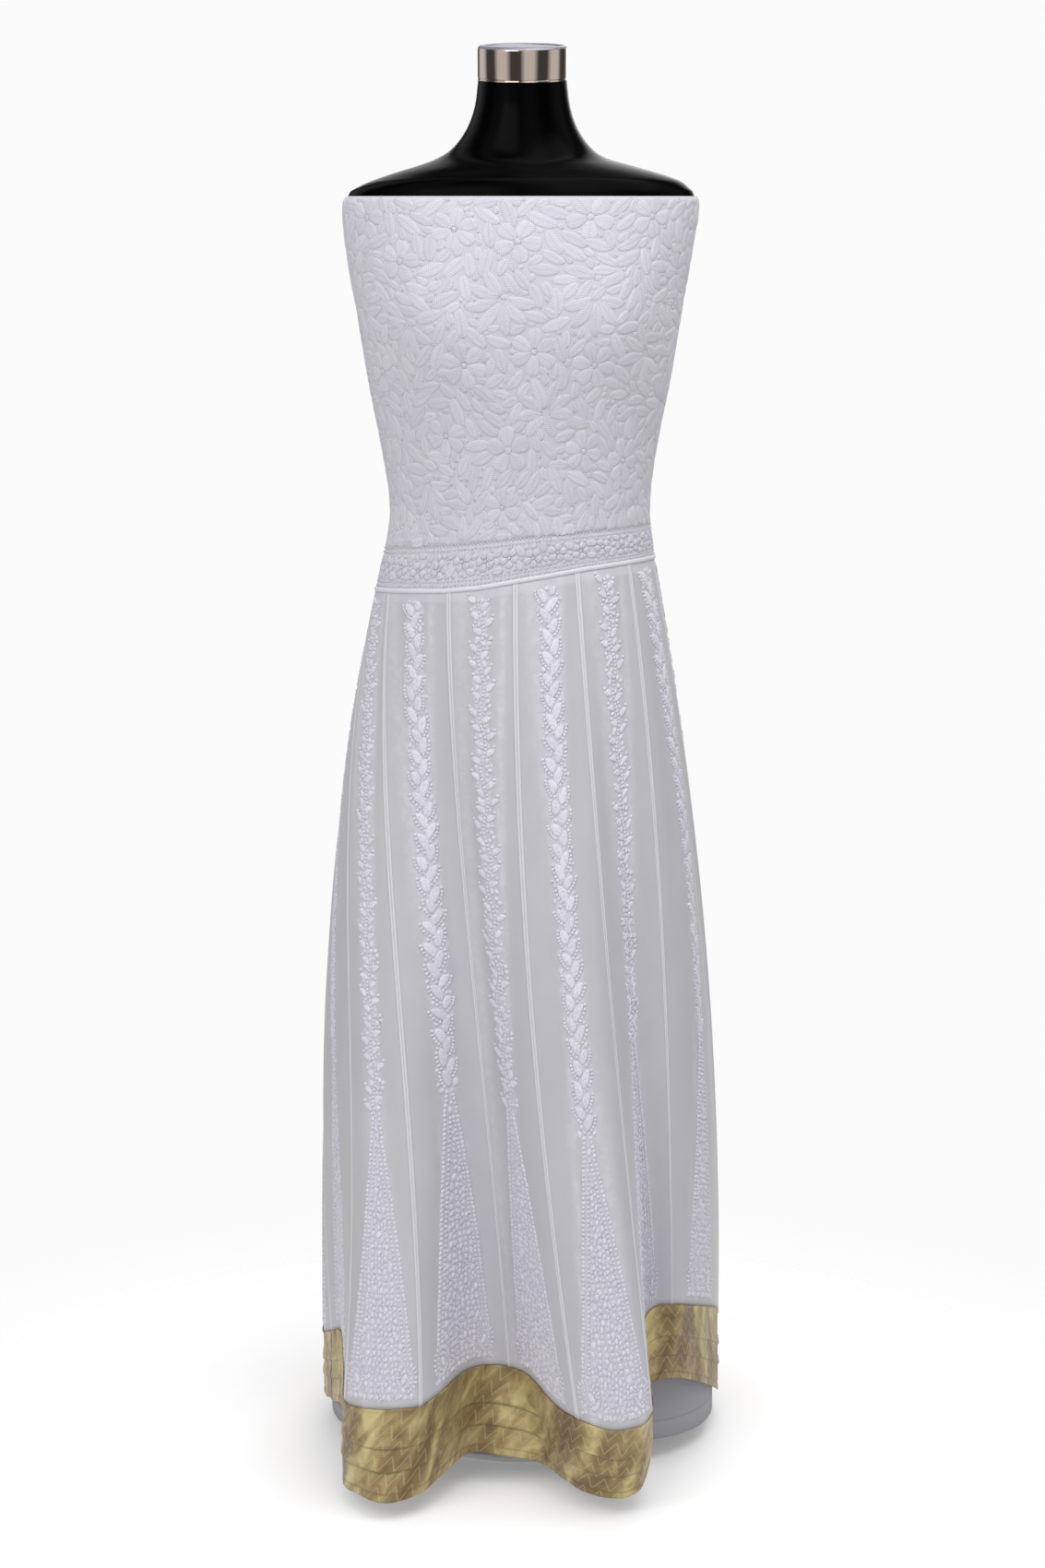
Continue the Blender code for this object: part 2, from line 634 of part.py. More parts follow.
def make_stand(collection):
    """Neck cap, flange, pole, collar and round base."""
    chrome = finish("chrome", 225, 226, 230, 0.06, 1.0)
    cap = turned("neck_cap", rounded_disc(CAP_RADIUS, 0.0, CAP_HEIGHT, 0.004), 32,
                 chrome, collection)
    cap.location = (0.0, NECK_SHIFT, NECK_TOP + SEAM_GAP)
    cap.rotation_euler = (NECK_TILT, 0.0, 0.0)
    steel = finish("brushed_steel", 168, 170, 173, 0.3, 1.0)
    flange_low = FORM_BOTTOM - SEAM_GAP - FLANGE_HEIGHT
    turned("form_flange", rounded_disc(FLANGE_RADIUS, flange_low, FORM_BOTTOM - SEAM_GAP, 0.002),
           28, steel.copy(), collection)
    collar_low = BASE_HEIGHT + SEAM_GAP
    collar = [(POLE_RADIUS + SEAM_GAP, collar_low + COLLAR_HEIGHT),
              (COLLAR_RADIUS - 0.003, collar_low + COLLAR_HEIGHT),
              (COLLAR_RADIUS, collar_low + COLLAR_HEIGHT - 0.003),
              (COLLAR_RADIUS, collar_low),
              (POLE_RADIUS + SEAM_GAP, collar_low),
              (POLE_RADIUS + SEAM_GAP, collar_low + COLLAR_HEIGHT)]
    turned("pole_collar", collar, 24, steel.copy(), collection)
    pole = [(0.0, flange_low - SEAM_GAP), (POLE_RADIUS, flange_low - SEAM_GAP),
            (POLE_RADIUS, collar_low), (0.0, collar_low)]
    turned("pole", pole, 24, steel.copy(), collection)
    base = rounded_disc(BASE_RADIUS, 0.0, BASE_HEIGHT, 0.004)
    turned("base", base, 40, finish("base_steel", 30, 30, 32, 0.35, 1.0), collection)


def main():
    """Build the whole part."""
    clear_scene()
    collection = bpy.data.collections.new(COLLECTION)
    bpy.context.scene.collection.children.link(collection)
    make_bodice(collection)
    make_waistband(collection)
    make_skirt(collection)
    make_lining(collection)
    make_form(collection)
    make_stand(collection)


main()
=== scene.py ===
"""Looks of the anarkali gown on its dress form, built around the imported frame.

Metres, +Z up, the wearer faces -Y.  Each section is one piece or one group of like pieces, in
the order in which the real thing is put together: stand, form, lining, skirt, border, piping,
waistband, bodice and then the embroidery that is worked on them.
"""
import math

import bpy
import numpy as np
from mathutils import Matrix, Vector


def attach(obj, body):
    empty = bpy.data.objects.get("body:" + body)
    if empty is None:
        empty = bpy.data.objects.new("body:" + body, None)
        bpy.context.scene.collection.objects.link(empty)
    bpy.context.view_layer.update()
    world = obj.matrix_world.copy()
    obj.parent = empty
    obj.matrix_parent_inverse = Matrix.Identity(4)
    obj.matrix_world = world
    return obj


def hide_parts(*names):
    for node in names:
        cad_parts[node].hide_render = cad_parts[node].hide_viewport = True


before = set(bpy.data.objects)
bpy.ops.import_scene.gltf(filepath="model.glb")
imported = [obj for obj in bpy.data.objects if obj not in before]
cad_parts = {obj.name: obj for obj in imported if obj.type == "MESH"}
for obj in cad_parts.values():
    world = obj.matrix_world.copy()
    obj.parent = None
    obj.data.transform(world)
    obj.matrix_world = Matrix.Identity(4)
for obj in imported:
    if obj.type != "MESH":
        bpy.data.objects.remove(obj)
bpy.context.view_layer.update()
scene = bpy.context.scene

# Camera: chest height, 3 m in front of the pole, tipped 7 degrees down.
# At the pole one pixel of the 1133 x 1700 picture is one millimetre.
CAMERA_DISTANCE = 3.0
CAMERA_HEIGHT = 1.085
CAMERA_PITCH = math.radians(7.0)
PICTURE_HEIGHT = 1700.0
PIXELS_PER_METRE = 1000.0

lens = bpy.data.cameras.new("camera")
lens.sensor_width = 36.0
lens.lens = lens.sensor_width * CAMERA_DISTANCE * PIXELS_PER_METRE / PICTURE_HEIGHT
camera = bpy.data.objects.new("camera", lens)
camera.location = (0.0, -CAMERA_DISTANCE, CAMERA_HEIGHT)
camera.rotation_euler = (0.5 * math.pi - CAMERA_PITCH, 0.0, 0.0)
scene.collection.objects.link(camera)
scene.camera = camera
scene.view_settings.view_transform = "Standard"


# Studio: an opal floor, lit a little from below, that melts into a white room, and three
# soft boxes, one high in front on the left, one overhead and one high behind.
FLOOR_HALF = 2.4
FLOOR_SOLID = 0.10       # the floor starts to melt away this far from the pole
FLOOR_GONE = 0.95
FLOOR_COLOUR = "FCFCFD"
FLOOR_GLOW = 0.20        # the board is opal and lit from below
ROOM_COLOUR = "FBFBFC"
ROOM_LIGHT = 0.60
ROOM_TURNS = 5.0         # bright and grey stretches round about, for metal to mirror
ROOM_SHADES = (0.16, 1.65)
LIGHT_TARGET = Vector((0.0, 0.0, 0.85))
SOFT_BOXES = (
    # name, place, size, power in watts
    ("soft_box_front", (-1.4, -2.8, 2.6), 2.0, 38.0),
    ("soft_box_top", (0.9, -1.0, 3.6), 2.6, 46.0),
    ("soft_box_back", (0.4, 3.2, 3.0), 3.0, 30.0),
)


def linear(colour):
    """Linear RGBA of an sRGB hex colour."""
    channels = [int(colour[start:start + 2], 16) / 255.0 for start in (0, 2, 4)]
    bent = [c / 12.92 if c <= 0.04045 else ((c + 0.055) / 1.055) ** 2.4 for c in channels]
    return (*bent, 1.0)


def add_node(tree, kind, values=None, links=None, **settings):
    """One node with its settings, its socket values and the sockets that feed it."""
    node = tree.nodes.new(kind)
    for name, value in settings.items():
        setattr(node, name, value)
    for name, value in (values or {}).items():
        node.inputs[name].default_value = value
    for name, source in (links or {}).items():
        tree.links.new(source, node.inputs[name])
    return node


def start_material(name, colour, roughness, metallic=0.0, sheen=0.0):
    """A named material with its Principled shader set; returns it, its tree and the shader.

    The colour is the finish's plain one, which a material's own nodes may replace.
    """
    material = bpy.data.materials.new(name)
    material.use_nodes = True
    tree = material.node_tree
    shader = tree.nodes["Principled BSDF"]
    shader.inputs["Base Color"].default_value = linear(colour)
    shader.inputs["Roughness"].default_value = roughness
    shader.inputs["Metallic"].default_value = metallic
    shader.inputs["Sheen Weight"].default_value = sheen
    return material, tree, shader


def mesh_piece(name, points, faces, uv=None, marks=None):
    """An object from an array of points and a list of face arrays, each of one face size.

    uv is one pair for each point, and marks maps an attribute's name to one value a point.
    """
    mesh = bpy.data.meshes.new(name)
    corners = np.concatenate([part.ravel() for part in faces]).astype(np.int32)
    counts = np.concatenate([np.full(len(part), part.shape[1]) for part in faces])
    starts = np.concatenate([[0], np.cumsum(counts)[:-1]]).astype(np.int32)
    mesh.vertices.add(len(points))
    mesh.vertices.foreach_set("co", np.asarray(points, dtype=np.float32).ravel())
    mesh.loops.add(len(corners))
    mesh.loops.foreach_set("vertex_index", corners)
    mesh.polygons.add(len(counts))
    mesh.polygons.foreach_set("loop_start", starts)
    mesh.update(calc_edges=True)
    mesh.shade_smooth()
    if uv is not None:
        layer = mesh.uv_layers.new(name="cloth")
        layer.data.foreach_set("uv", np.asarray(uv, dtype=np.float32)[corners].ravel())
    for mark, values in (marks or {}).items():
        attribute = mesh.attributes.new(mark, "FLOAT", "POINT")
        attribute.data.foreach_set("value", np.asarray(values, dtype=np.float32).ravel())
    piece = bpy.data.objects.new(name, mesh)
    scene.collection.objects.link(piece)
    return piece


def dress(piece, material, slot, *nodes):
    """Give a piece its material, let it ride on the part and stand for its CAD nodes."""
    piece.data.materials.append(material)
    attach(piece, "root")
    if nodes:
        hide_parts(*nodes)
    return piece


floor_paint, floor_tree, floor_shader = start_material("opal_board", FLOOR_COLOUR, 0.9)
floor_shader.inputs["Emission Color"].default_value = (1.0, 1.0, 1.0, 1.0)
floor_shader.inputs["Emission Strength"].default_value = FLOOR_GLOW
floor_corners = np.array([(-1, -1, 0), (1, -1, 0), (1, 1, 0), (-1, 1, 0)]) * FLOOR_HALF
floor = mesh_piece("studio_floor", floor_corners, [np.array([[0, 1, 2, 3]])])
floor.data.materials.append(floor_paint)
floor_place = add_node(floor_tree, "ShaderNodeTexCoord")
floor_reach = add_node(floor_tree, "ShaderNodeVectorMath",
                       links={0: floor_place.outputs["Object"]}, operation="LENGTH")
floor_fade = add_node(floor_tree, "ShaderNodeMapRange",
                      {"From Min": FLOOR_SOLID, "From Max": FLOOR_GONE},
                      {"Value": floor_reach.outputs["Value"]}, interpolation_type="SMOOTHSTEP")
floor_air = add_node(floor_tree, "ShaderNodeBsdfTransparent")
floor_mix = add_node(floor_tree, "ShaderNodeMixShader",
                     links={0: floor_fade.outputs["Result"], 1: floor_shader.outputs["BSDF"],
                            2: floor_air.outputs["BSDF"]})
floor_tree.links.new(floor_mix.outputs["Shader"],
                     floor_tree.nodes["Material Output"].inputs["Surface"])

room = bpy.data.worlds.new("white_room")
room.use_nodes = True
room_tree = room.node_tree
seen = add_node(room_tree, "ShaderNodeBackground", {"Color": linear(ROOM_COLOUR), "Strength": 1.0})
# Polished metal needs something to mirror: the room is bright and grey by turns round about.
way_out = add_node(room_tree, "ShaderNodeTexCoord")
way_parts = add_node(room_tree, "ShaderNodeSeparateXYZ",
                     links={"Vector": way_out.outputs["Generated"]})
heading = add_node(room_tree, "ShaderNodeMath", links={0: way_parts.outputs["X"],
                   1: way_parts.outputs["Y"]}, operation="ARCTAN2")
turns = add_node(room_tree, "ShaderNodeMath", {1: ROOM_TURNS}, {0: heading.outputs[0]},
                 operation="MULTIPLY")
swing = add_node(room_tree, "ShaderNodeMath", links={0: turns.outputs[0]}, operation="SINE")
shade = add_node(room_tree, "ShaderNodeMapRange", {"From Min": -0.5, "From Max": 0.6,
                 "To Min": ROOM_SHADES[0] * ROOM_LIGHT, "To Max": ROOM_SHADES[1] * ROOM_LIGHT},
                 {"Value": swing.outputs[0]})
lit = add_node(room_tree, "ShaderNodeBackground", {"Color": (1.0, 1.0, 1.0, 1.0)},
               {"Strength": shade.outputs["Result"]})
ray = add_node(room_tree, "ShaderNodeLightPath")
both = add_node(room_tree, "ShaderNodeMixShader", links={0: ray.outputs["Is Camera Ray"],
                1: lit.outputs[0], 2: seen.outputs[0]})
room_tree.links.new(both.outputs[0], room_tree.nodes["World Output"].inputs["Surface"])
scene.world = room

for name, place, size, power in SOFT_BOXES:
    box = bpy.data.lights.new(name, "AREA")
    box.size = size
    box.energy = power
    lamp = bpy.data.objects.new(name, box)
    lamp.location = place
    aim = LIGHT_TARGET - Vector(place)
    lamp.rotation_euler = aim.to_track_quat("-Z", "Y").to_euler()
    scene.collection.objects.link(lamp)


# Stand: a round steel plate, a brushed steel tube standing in a turned collar and a flange
# that carries the torso. All four are turned pieces; the plate is powder-coated white.
BASE_RADIUS = 0.140
BASE_HEIGHT = 0.008
POLE_RADIUS = 0.0125
COLLAR_RADIUS = 0.024
COLLAR_HEIGHT = 0.030
FLANGE_RADIUS = 0.045
FLANGE_HEIGHT = 0.008
FORM_BOTTOM = 0.725
BASE_EDGE = 0.004        # rounding of each turned rim
FLANGE_EDGE = 0.002
COLLAR_EDGE = 0.003
SEAT_GAP = 0.0003
TURNED_STEPS = 96
MIDDLE = 1e-5            # radius of the innermost ring of a turned piece


def grid_quads(rows, columns, closed=False):
    """Four-cornered faces of a grid, row 0 on top and columns from the viewer's left."""
    first = np.arange(columns if closed else columns - 1)
    after = (first + 1) % columns
    row = np.arange(rows - 1)[:, None] * columns
    corners = [row + first, row + columns + first, row + columns + after, row + after]
    return np.stack(corners, axis=-1).reshape(-1, 4)


def round_rim(radius, low, high, edge, steps=6):
    """Profile (radius, height) of a disc with a quarter-round upper rim, middle to middle."""
    turn = np.linspace(0.0, 0.5 * math.pi, steps)
    rim = np.stack([radius - edge + edge * np.sin(turn), high - edge + edge * np.cos(turn)], -1)
    ends = ([(MIDDLE, high)], rim, [(radius, low), (MIDDLE, low)])
    return np.concatenate([np.asarray(part) for part in ends])


def turned(name, profile, place=(0.0, 0.0, 0.0), tilt=0.0):
    """A profile of (radius, height) pairs carried round Z: (r sin a, -r cos a, h)."""
    angle = np.linspace(0.0, 2.0 * math.pi, TURNED_STEPS, endpoint=False)
    radius = profile[:, 0:1]
    points = np.stack([radius * np.sin(angle), -radius * np.cos(angle),
                       profile[:, 1:2] + 0.0 * angle], axis=-1).reshape(-1, 3)
    turn = np.array(Matrix.Rotation(tilt, 3, "X"))
    uv = np.stack([np.broadcast_to(angle * 0.1, (len(profile), TURNED_STEPS)).ravel(),
                   np.repeat(profile[:, 1] * 10.0, TURNED_STEPS)], axis=-1)
    piece = mesh_piece(name, points @ turn.T + np.array(place),
                       [grid_quads(len(profile), TURNED_STEPS, True)], uv)
    piece.data.set_sharp_from_angle(angle=math.radians(40.0))
    return piece


# Brushed stainless steel: fine rings left by the lathe and the polishing belt
brushed, tree, shader = start_material("brushed_stainless_steel", "A9ABAE", 0.32, 1.0)
here = add_node(tree, "ShaderNodeTexCoord")
rings = add_node(tree, "ShaderNodeMapping", {"Scale": (40.0, 40.0, 1600.0)},
                 {"Vector": here.outputs["Object"]})
grain = add_node(tree, "ShaderNodeTexNoise", {"Scale": 1.0, "Detail": 3.0},
                 {"Vector": rings.outputs["Vector"]})
rough = add_node(tree, "ShaderNodeMapRange", {"To Min": 0.24, "To Max": 0.42},
                 {"Value": grain.outputs["Fac"]})
bump = add_node(tree, "ShaderNodeBump", {"Strength": 0.15, "Distance": 0.0004},
                {"Height": grain.outputs["Fac"]})
tree.links.new(rough.outputs["Result"], shader.inputs["Roughness"])
tree.links.new(bump.outputs["Normal"], shader.inputs["Normal"])

# Powder-coated steel: white and satin, with the orange peel of the baked powder
coated, tree, shader = start_material("powder_coated_steel", "F1F1F3", 0.42)
here = add_node(tree, "ShaderNodeTexCoord")
peel = add_node(tree, "ShaderNodeTexNoise", {"Scale": 420.0, "Detail": 2.0},
                {"Vector": here.outputs["Object"]})
bump = add_node(tree, "ShaderNodeBump", {"Strength": 0.25, "Distance": 0.0005},
                {"Height": peel.outputs["Fac"]})
tree.links.new(bump.outputs["Normal"], shader.inputs["Normal"])

flange_low = FORM_BOTTOM - SEAT_GAP - FLANGE_HEIGHT
collar_low = BASE_HEIGHT + SEAT_GAP
collar_top = collar_low + COLLAR_HEIGHT
bore = POLE_RADIUS + SEAT_GAP
base = turned("stand_plate", round_rim(BASE_RADIUS, 0.0, BASE_HEIGHT, BASE_EDGE))
dress(base, coated, "base_steel", "base")
flange = turned("form_plate", round_rim(FLANGE_RADIUS, flange_low, FORM_BOTTOM - SEAT_GAP,
                                        FLANGE_EDGE))
dress(flange, brushed, "stand_steel", "form_flange")
tube = np.array([(MIDDLE, flange_low - SEAT_GAP), (POLE_RADIUS, flange_low - SEAT_GAP),
                 (POLE_RADIUS, collar_low), (MIDDLE, collar_low)])
dress(turned("stand_tube", tube), brushed, "stand_steel", "pole")
turn = np.linspace(0.0, 0.5 * math.pi, 6)
shoulder = np.stack([COLLAR_RADIUS - COLLAR_EDGE + COLLAR_EDGE * np.sin(turn),
                     collar_top - COLLAR_EDGE + COLLAR_EDGE * np.cos(turn)], axis=-1)
collar = np.concatenate([[(bore, collar_low), (bore, collar_top)], shoulder,
                         [(COLLAR_RADIUS, collar_low), (bore, collar_low)]])
dress(turned("tube_collar", collar), brushed, "stand_steel", "pole_collar")


# Torso: a limbless form of glass-fibre sprayed with black gloss, smooth and a little longer
# than the bodice. Its shape under the cloth is the bodice's own, moved in; hips and neck
# are rings of their own size.
BODY_ROWS = np.array((
    # height, half size to the left, right, front and back of the clothed body
    (0.905, 0.1640, 0.1540, 0.1150, 0.0960),
    (0.935, 0.1570, 0.1480, 0.1100, 0.0900),
    (0.975, 0.1480, 0.1405, 0.1060, 0.0860),
    (1.015, 0.1425, 0.1370, 0.1035, 0.0845),
    (1.034, 0.1440, 0.1380, 0.1040, 0.0855),
    (1.074, 0.1500, 0.1430, 0.1055, 0.0890),
    (1.113, 0.1575, 0.1500, 0.1090, 0.0940),
    (1.152, 0.1650, 0.1580, 0.1120, 0.0980),
    (1.192, 0.1715, 0.1645, 0.1130, 0.1010),
    (1.231, 0.1780, 0.1710, 0.1120, 0.1030),
    (1.269, 0.1850, 0.1775, 0.1085, 0.1035),
    (1.308, 0.1900, 0.1840, 0.1010, 0.1010),
    (1.328, 0.1915, 0.1870, 0.0960, 0.0985),
    (1.347, 0.1880, 0.1855, 0.0905, 0.0955),
    (1.360, 0.1750, 0.1725, 0.0850, 0.0915),
))
FORM_LOWER_ROWS = (
    # height, left, right, front, back, tilt
    (0.725, 0.1350, 0.1330, 0.0900, 0.0960, 0.0),
    (0.740, 0.1520, 0.1490, 0.0970, 0.1050, 0.0),
    (0.775, 0.1600, 0.1560, 0.1005, 0.1090, 0.0),
    (0.830, 0.1590, 0.1540, 0.1020, 0.1020, 0.0),
    (0.880, 0.1560, 0.1490, 0.1030, 0.0930, 0.0),
    (0.920, 0.1510, 0.1430, 0.1030, 0.0855, 0.0),
)
NECK_TILT = math.radians(11.0)
FORM_UPPER_ROWS = (
    (1.3555, 0.1760, 0.1770, 0.0850, 0.0900, 0.00),
    (1.3630, 0.1590, 0.1670, 0.0790, 0.0850, 0.02),
    (1.3710, 0.1360, 0.1440, 0.0720, 0.0790, 0.04),
    (1.3790, 0.1100, 0.1160, 0.0660, 0.0730, 0.08),
    (1.3870, 0.0890, 0.0880, 0.0610, 0.0660, 0.12),
    (1.3980, 0.0730, 0.0720, 0.0570, 0.0590, 0.15),
    (1.4170, 0.0590, 0.0585, 0.0520, 0.0520, 0.18),
    (1.4400, 0.0505, 0.0505, 0.0480, 0.0470, 0.19),
    (1.4660, 0.0470, 0.0470, 0.0470, 0.0470, math.tan(NECK_TILT)),
)
NECK_SHIFT = -0.010
TOP_EDGE = 1.347
TOP_EDGE_SLOPE = 0.085
BUST_HEIGHT = 1.205
BUST_SPREAD = 0.060
BUST_ANGLE = math.radians(33.0)
BUST_WIDTH = math.radians(20.0)
BUST_DEPTH = 0.016
BAND_ROWS = np.array((
    # X, height of the waist seam there, height of the waistband's top edge
    (-0.160, 0.930, 0.974),
    (-0.084, 0.932, 0.978),
    (-0.045, 0.936, 0.982),
    (0.000, 0.944, 0.987),
    (0.071, 0.956, 0.993),
    (0.111, 0.961, 0.9965),
    (0.150, 0.966, 1.001),
))
SEAM = 1                 # columns of BAND_ROWS
BAND_TOP = 2
CLOTH_WALL = 0.0016      # thickness of the solids that the shells stand for
FORM_GAP = 0.0008
LINING_GAP = 0.0006
FORM_COLUMNS = 108
FORM_STEPS = 3           # rows of faces between two rings of the form


def smooth_rows(knots, values, place, period=0.0):
    """A cubic through the rows of a table, with slopes from the neighbouring rows."""
    if period:
        knots = np.concatenate([knots[-2:] - period, knots, knots[:2] + period])
        values = np.concatenate([values[-2:], values, values[:2]])
    slopes = np.gradient(values, knots, axis=0)
    place = np.clip(np.asarray(place, dtype=float), knots[0], knots[-1])
    first = np.clip(np.searchsorted(knots, place, side="right") - 1, 0, len(knots) - 2)
    width = (knots[first + 1] - knots[first])[..., None]
    part = (place - knots[first])[..., None] / width
    rise = part * part * (3.0 - 2.0 * part)
    bend = part * (1.0 - part) * width
    mixed = values[first] * (1.0 - rise) + values[first + 1] * rise
    return mixed + bend * ((1.0 - part) * slopes[first] - part * slopes[first + 1])


def ellipse(angle, left, right, front, back):
    """Ring with its own half size on each side: (side sin a, -depth cos a), 0 in front."""
    side = np.where(np.sin(angle) < 0.0, left, right)
    depth = np.where(np.cos(angle) > 0.0, front, back)
    return side * np.sin(angle), -depth * np.cos(angle)


def body_sizes(height):
    """Half sizes of the clothed body at each height, as four arrays."""
    return np.moveaxis(smooth_rows(BODY_ROWS[:, 0], BODY_ROWS[:, 1:], height), -1, 0)


def body_point(angle, height, inset):
    """The clothed body moved in by inset: its ring, pushed forward by two soft hills.

    Each hill is exp(-(da/width)^2) exp(-(dz/spread)^2) about 33 degrees to either side.
    """
    across, forward = ellipse(angle, *(body_sizes(height) - inset))
    turned_to = np.arctan2(np.sin(angle), np.cos(angle))
    hills = np.exp(-((turned_to - BUST_ANGLE) / BUST_WIDTH) ** 2)
    hills = hills + np.exp(-((turned_to + BUST_ANGLE) / BUST_WIDTH) ** 2)
    forward = forward - BUST_DEPTH * hills * np.exp(-((height - BUST_HEIGHT) / BUST_SPREAD) ** 2)
    return np.stack([across, forward, height + 0.0 * angle], axis=-1)


def waist_ring(angle, line, inset):
    """The body's ring on a slanting line of BAND_ROWS: its height follows its own X."""
    height = np.interp(0.0 * angle, BAND_ROWS[:, 0], BAND_ROWS[:, line])
    for _ in range(4):
        across = body_point(angle, height, inset)[..., 0]
        height = np.interp(across, BAND_ROWS[:, 0], BAND_ROWS[:, line])
    return body_point(angle, height, inset)


def bodice_point(angle, way, inset):
    """The bodice from its straight top edge (way 0) to the waistband's top (way 1)."""
    low = waist_ring(angle, BAND_TOP, inset)[..., 2] + SEAT_GAP
    high = np.full_like(low, TOP_EDGE)
    for _ in range(3):
        high = TOP_EDGE + TOP_EDGE_SLOPE * body_point(angle, high, inset)[..., 1]
    return body_point(angle, high + (low - high) * way, inset)


def form_ring(angle, row):
    """A ring of the bare form: an ellipse that tilts and leans forward towards the neck."""
    height, left, right, front, back, tilt = row
    across, forward = ellipse(angle, left, right, front, back)
    lean = NECK_SHIFT * np.clip((height - TOP_EDGE) / (FORM_UPPER_ROWS[-1][0] - TOP_EDGE), 0, 1)
    return np.stack([across, forward + lean, height + tilt * forward], axis=-1)


angle = np.linspace(0.0, 2.0 * math.pi, FORM_COLUMNS, endpoint=False)
inset = CLOTH_WALL + FORM_GAP
rings = [form_ring(angle, row) for row in FORM_UPPER_ROWS[::-1]]
rings += [bodice_point(angle, way, inset) for way in np.linspace(0.0, 1.0, 12)]
rings += [0.5 * (waist_ring(angle, SEAM, inset) + waist_ring(angle, BAND_TOP, inset))]
rings += [waist_ring(angle, SEAM, inset + CLOTH_WALL + LINING_GAP)]
rings += [form_ring(angle, row) for row in FORM_LOWER_ROWS[::-1]]
rings = np.array(rings)
knots = np.arange(len(rings), dtype=float)
places = np.linspace(0.0, knots[-1], FORM_STEPS * (len(rings) - 1) + 1)
skin = smooth_rows(knots, rings.reshape(len(rings), -1), places).reshape(len(places), -1, 3)
caps = skin[[0, -1]].mean(axis=1)
rows, columns, _ = skin.shape
around = np.arange(columns)
top_fan = np.stack([np.full(columns, rows * columns), around, (around + 1) % columns], -1)
low_ring = (rows - 1) * columns
bottom_fan = np.stack([np.full(columns, rows * columns + 1), low_ring + (around + 1) % columns,
                       low_ring + around], -1)
torso = mesh_piece("gloss_torso", np.concatenate([skin.reshape(-1, 3), caps]),
                   [grid_quads(rows, columns, True), top_fan, bottom_fan])
torso.data.set_sharp_from_angle(angle=math.radians(50.0))

# Glass-fibre with black gloss: nearly pure black, bright only at its rims, with the faint
# long ripple of hand sanding and a little dust that dulls it
gloss, tree, shader = start_material("black_gloss_glass_fibre", "020203", 0.20)
shader.inputs["Specular IOR Level"].default_value = 0.03
here = add_node(tree, "ShaderNodeTexCoord")
ripple = add_node(tree, "ShaderNodeTexNoise", {"Scale": 14.0, "Detail": 1.0},
                  {"Vector": here.outputs["Object"]})
bump = add_node(tree, "ShaderNodeBump", {"Strength": 0.35, "Distance": 0.002},
                {"Height": ripple.outputs["Fac"]})
dust = add_node(tree, "ShaderNodeTexNoise", {"Scale": 160.0, "Detail": 6.0, "Roughness": 0.7},
                {"Vector": here.outputs["Object"]})
rough = add_node(tree, "ShaderNodeMapRange", {"From Min": 0.3, "From Max": 0.8,
                 "To Min": 0.18, "To Max": 0.30}, {"Value": dust.outputs["Fac"]})
tree.links.new(bump.outputs["Normal"], shader.inputs["Normal"])
tree.links.new(rough.outputs["Result"], shader.inputs["Roughness"])
dress(torso, gloss, "form_gloss", "form_torso")


# Neck cap: a pressed steel cap, pushed on the neck and tilted with it. It has a polished
# side, a rounded rim round a slightly domed satin face, and a rolled lower edge.
CAP_RADIUS = 0.0475
CAP_HEIGHT = 0.036
CAP_RIM = 0.004
CAP_DOME = 0.0016
turn = np.linspace(0.0, math.pi, 9)
rim = np.stack([CAP_RADIUS - CAP_RIM - CAP_RIM * np.cos(turn),
                CAP_HEIGHT - CAP_RIM + CAP_RIM * np.sin(turn)], axis=-1)
roll = np.array([(CAP_RADIUS, 0.0030), (CAP_RADIUS - 0.0006, 0.0024), (CAP_RADIUS, 0.0016),
                 (CAP_RADIUS, 0.0006), (CAP_RADIUS - 0.0008, 0.0), (MIDDLE, 0.0)])
reach = np.linspace(MIDDLE, CAP_RADIUS - 2.3 * CAP_RIM, 8)
face = np.stack([reach, CAP_HEIGHT - 0.0006 - CAP_DOME * (reach / CAP_RADIUS) ** 2], axis=-1)
cap_seat = (0.0, NECK_SHIFT, FORM_UPPER_ROWS[-1][0] + SEAT_GAP)
cap = turned("chrome_cap", np.concatenate([face, rim, roll]), cap_seat, NECK_TILT)

# Chromium plate on pressed steel: a warm grey mirror with the faint rings of polishing on the
# side, and a lavender grey satin on the face, which the UV's height tells from the side
chrome, tree, shader = start_material("chromium_plate", "B4A79E", 0.07, 1.0)
here = add_node(tree, "ShaderNodeTexCoord")
turns = add_node(tree, "ShaderNodeMapping", {"Scale": (9.0, 9.0, 900.0)},
                 {"Vector": here.outputs["Object"]})
polish = add_node(tree, "ShaderNodeTexNoise", {"Scale": 1.0, "Detail": 2.0},
                  {"Vector": turns.outputs["Vector"]})
bump = add_node(tree, "ShaderNodeBump", {"Strength": 0.12, "Distance": 0.0003},
                {"Height": polish.outputs["Fac"]})
flat_on = add_node(tree, "ShaderNodeUVMap", uv_map="cloth")
parts = add_node(tree, "ShaderNodeSeparateXYZ", links={"Vector": flat_on.outputs["UV"]})
on_face = add_node(tree, "ShaderNodeMapRange", {"From Min": 0.325, "From Max": 0.338},
                 {"Value": parts.outputs["Y"]})
rough = add_node(tree, "ShaderNodeMapRange", {"To Min": 0.07, "To Max": 0.50},
                 {"Value": on_face.outputs["Result"]})
tint = add_node(tree, "ShaderNodeMixRGB", {"Color1": linear("B4A79E"), "Color2": linear("A09DA8")},
                {"Fac": on_face.outputs["Result"]})
tree.links.new(bump.outputs["Normal"], shader.inputs["Normal"])
tree.links.new(rough.outputs["Result"], shader.inputs["Roughness"])
tree.links.new(tint.outputs["Color"], shader.inputs["Base Color"])
dress(cap, chrome, "cap_chrome", "neck_cap")


